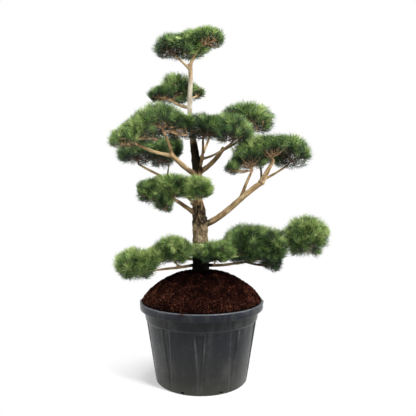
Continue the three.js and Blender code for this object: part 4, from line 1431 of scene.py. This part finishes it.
def shoot_sites(name, lobes, random):
    """Tips of the shoots, a pitch apart, as far out as their needles allow, and turned upward."""
    sites = cast_sites(lobes, random)
    way = blended(sites)[1]
    near = np.stack([lobe.share(sites) for lobe in lobes]).argmin(0)
    grown = np.array([np.mean(lobe.size) for lobe in lobes]) / FULL_SIZE
    vigour = np.clip(grown, LEAST_VIGOUR, 1)[near]
    axis = unit(way * np.array(OUTWARD) + UP * UPWARD)
    axis = unit(axis + random.normal(0, WAYWARD, sites.shape))
    end = sites + axis * (0.7 * NEEDLE_LENGTH * vigour)[:, None]
    feet = sites - axis * (SHOOT_LENGTH * vigour)[:, None]
    out, depth, rest = blended(end)[0], blended(sites)[0], blended(feet)[0]
    keep = (out < DOME_LIMIT) & (rest < np.minimum(DEEPEST_FOOT, out - SHORTEST_CLIMB))
    keep &= belongs_to(name, (sites + end) / 2)
    keep &= clear_of_limbs(sites, LIMB_ROOM)
    keep &= random.uniform(0, 1, len(sites)) < np.clip((out / DOME_LIMIT) ** 3, INNER_SHARE, 1)
    flat = [lobe.centre[2] > OPEN_LEVEL and lobe.size[3] < FULL_DEPTH * lobe.size[2] for lobe in lobes]
    keep &= ~in_open_underside(way, np.array(flat)[near])
    tufts = np.array([name in TUFTED and lobe.sprays <= TUFT_SPRAYS for lobe in lobes])
    pitch = SHOOT_PITCH * vigour * np.where(tufts, THIN_PITCH, 1)[near]
    kept = []
    for i in np.flatnonzero(keep)[np.argsort(-out[keep] + random.uniform(0, 0.35, keep.sum()))]:
        if not kept or np.linalg.norm(sites[kept] - sites[i], axis=1).min() > pitch[i]:
            kept.append(i)
    return sites[kept], axis[kept], vigour[kept], way[kept, 2], depth[kept]


def deal_needles(sprays, random):
    """Foot, heading, bend, length and shade of needles dealt round each shoot by the golden angle."""
    feet, axis, length, vigour, tone = sprays
    k = SHOOT_NEEDLES
    t = (np.arange(k) + random.uniform(0, 1, (len(feet), k))) / k
    turn = np.arange(k)[None] * GOLDEN_ANGLE + random.uniform(0, FULL_TURN, (len(feet), 1))
    side = unit(np.cross(axis, np.where(np.abs(axis[:, 2:]) > 0.85, [1.0, 0, 0], UP)))
    other = np.cross(axis, side)
    spread = np.radians(LOWEST_ANGLE - ANGLE_FALL * t**1.3 + random.normal(0, 11, t.shape))
    radial = side[:, None] * np.cos(turn)[..., None] + other[:, None] * np.sin(turn)[..., None]
    heading = axis[:, None] * np.cos(spread)[..., None] + radial * np.sin(spread)[..., None]
    foot = feet[:, None] + axis[:, None] * (length[:, None] * (0.12 + 0.88 * t))[..., None]
    size = NEEDLE_LENGTH * vigour[:, None] * random.uniform(0.72, 1.15, t.shape)
    foot, heading, size = foot.reshape(-1, 3), heading.reshape(-1, 3), size.ravel()
    shade = tone[:, None] - 0.85 + TIP_LIGHT * (t > TIP_SHARE)
    shade = np.clip(np.round(shade), 0, SHADES - 1).astype(int).ravel()
    bend = axis.repeat(k, 0) * 0.16 + UP * 0.05 + random.normal(0, 0.09, foot.shape)
    return foot, heading, bend, size, shade


def trimmed(foot, heading, bend, size, vigour):
    """Needle lengths cut back to a ragged outline of the domes."""
    tip = foot + unit(heading + bend) * size[:, None]
    share, rest = blended(tip)[0], blended(foot)[0]
    clump = np.array([noise.noise(Vector(p / CLUMP)) for p in tip])
    limit = DOME_LIMIT + RAGGED / (FULL_SIZE * vigour) * clump
    room = np.clip((limit - rest) / np.maximum(share - rest, 1e-3), 0, 1)
    return np.where(share > limit, size * room, size)


def make_needles(name, sprays, random, greens):
    """Slim six-faced needles, bent at their widest place."""
    foot, heading, bend, size, shade = deal_needles(sprays, random)
    vigour = np.repeat(sprays[3], SHOOT_NEEDLES)
    size = trimmed(foot, heading, bend, size, vigour)
    keep = size > SHORTEST_NEEDLE * NEEDLE_LENGTH
    foot, heading, bend, size, shade = foot[keep], heading[keep], bend[keep], size[keep], shade[keep]
    middle = foot + heading * (NEEDLE_KNEE * size)[:, None]
    tip = foot + unit(heading + bend) * size[:, None]
    keep = clear_of_limbs(middle, NEEDLE_ROOM) & clear_of_limbs(tip, NEEDLE_ROOM)
    low, high = np.array(cad_low) / MM - PROUD, np.array(cad_high) / MM + PROUD
    keep &= np.all((tip > low) & (tip < high), axis=1)
    foot, heading, middle, tip, shade = foot[keep], heading[keep], middle[keep], tip[keep], shade[keep]
    across = unit(np.cross(heading, random.normal(0, 1, heading.shape)))
    along = np.cross(heading, across)
    ring = [
        middle + NEEDLE_RADIUS * (across * math.cos(a) + along * math.sin(a))
        for a in (0, 2 * math.pi / 3, 4 * math.pi / 3)
    ]
    points = np.stack([foot, *ring, tip], 1)
    shape = np.array([(0, 2, 1), (0, 3, 2), (0, 1, 3), (1, 2, 4), (2, 3, 4), (3, 1, 4)])
    faces = (np.arange(len(foot))[:, None, None] * points.shape[1] + shape).reshape(-1, 3)
    shades = np.repeat(shade, len(shape))
    return make_piece(f"{name}_needles", points.reshape(-1, 3), [faces], greens, shades)


# Surroundings

def make_floor():
    """Pale floor that fades to the white of the background."""
    bpy.ops.mesh.primitive_circle_add(vertices=128, radius=FLOOR_RADIUS, fill_type="NGON")
    floor = bpy.context.object
    floor.name = "studio_floor"
    material, nodes, links, shader = new_material("pale_floor")
    place = nodes.new("ShaderNodeTexCoord")
    length = node(nodes, "ShaderNodeVectorMath", operation="LENGTH")
    links.new(place.outputs["Object"], length.inputs[0])
    fade = ramp(nodes, links, length.outputs["Value"], [(0.24, grey(0.35)), (0.62, grey(1))])
    shader.inputs["Base Color"].default_value = (0.86, 0.86, 0.86, 1)
    shader.inputs["Roughness"].default_value = 0.9
    glow = node(nodes, "ShaderNodeEmission", Strength=1.0)
    glow.inputs["Color"].default_value = (1, 1, 1, 1)
    blend = nodes.new("ShaderNodeMixShader")
    links.new(fade, blend.inputs["Fac"])
    links.new(shader.outputs["BSDF"], blend.inputs[1])
    links.new(glow.outputs["Emission"], blend.inputs[2])
    links.new(blend.outputs["Shader"], nodes["Material Output"].inputs["Surface"])
    floor.data.materials.append(material)


def make_world():
    """White to the camera, and dimmer as a light."""
    world = bpy.data.worlds.new("studio")
    world.use_nodes = True
    bpy.context.scene.world = world
    nodes, links = world.node_tree.nodes, world.node_tree.links
    background = nodes["Background"]
    seen = nodes.new("ShaderNodeLightPath")
    strength = spanned(nodes, links, seen.outputs["Is Camera Ray"], 0.0, 1.0, WORLD_LIGHT, 1.0)
    links.new(strength, background.inputs["Strength"])
    background.inputs["Color"].default_value = (1, 1, 1, 1)


def add_light(name, place, target, size, power):
    light = bpy.data.lights.new(name, "AREA")
    light.shape = "DISK"
    light.size = size
    light.energy = power
    lamp = bpy.data.objects.new(name, light)
    lamp.location = place
    lamp.rotation_euler = (Vector(target) - Vector(place)).to_track_quat("-Z", "Y").to_euler()
    bpy.context.collection.objects.link(lamp)


def make_camera():
    """The photo's view, found from the ellipses of the pot's rim and foot."""
    data = bpy.data.cameras.new("photo_view")
    data.lens = CAMERA_LENS
    data.sensor_width = 36
    data.clip_end = 60
    camera = bpy.data.objects.new("photo_view", data)
    camera.location = CAMERA_PLACE
    camera.rotation_euler = (math.pi / 2, 0, 0)
    bpy.context.collection.objects.link(camera)
    bpy.context.scene.camera = camera


make_camera()
make_floor()
make_world()
for lamp, values in LAMPS.items():
    add_light(lamp, *values)
bpy.context.scene.view_settings.view_transform = "Standard"
make_pot()
make_mix(mix_materials())
make_limbs()
twig_looks = [twig_material("twig_bark", 0.0), twig_material("twig_bark_shaded", TWIG_SHADE)]
greens = needle_materials()
for index, name in enumerate(masses):
    grow_mass(name, index, twig_looks, greens)
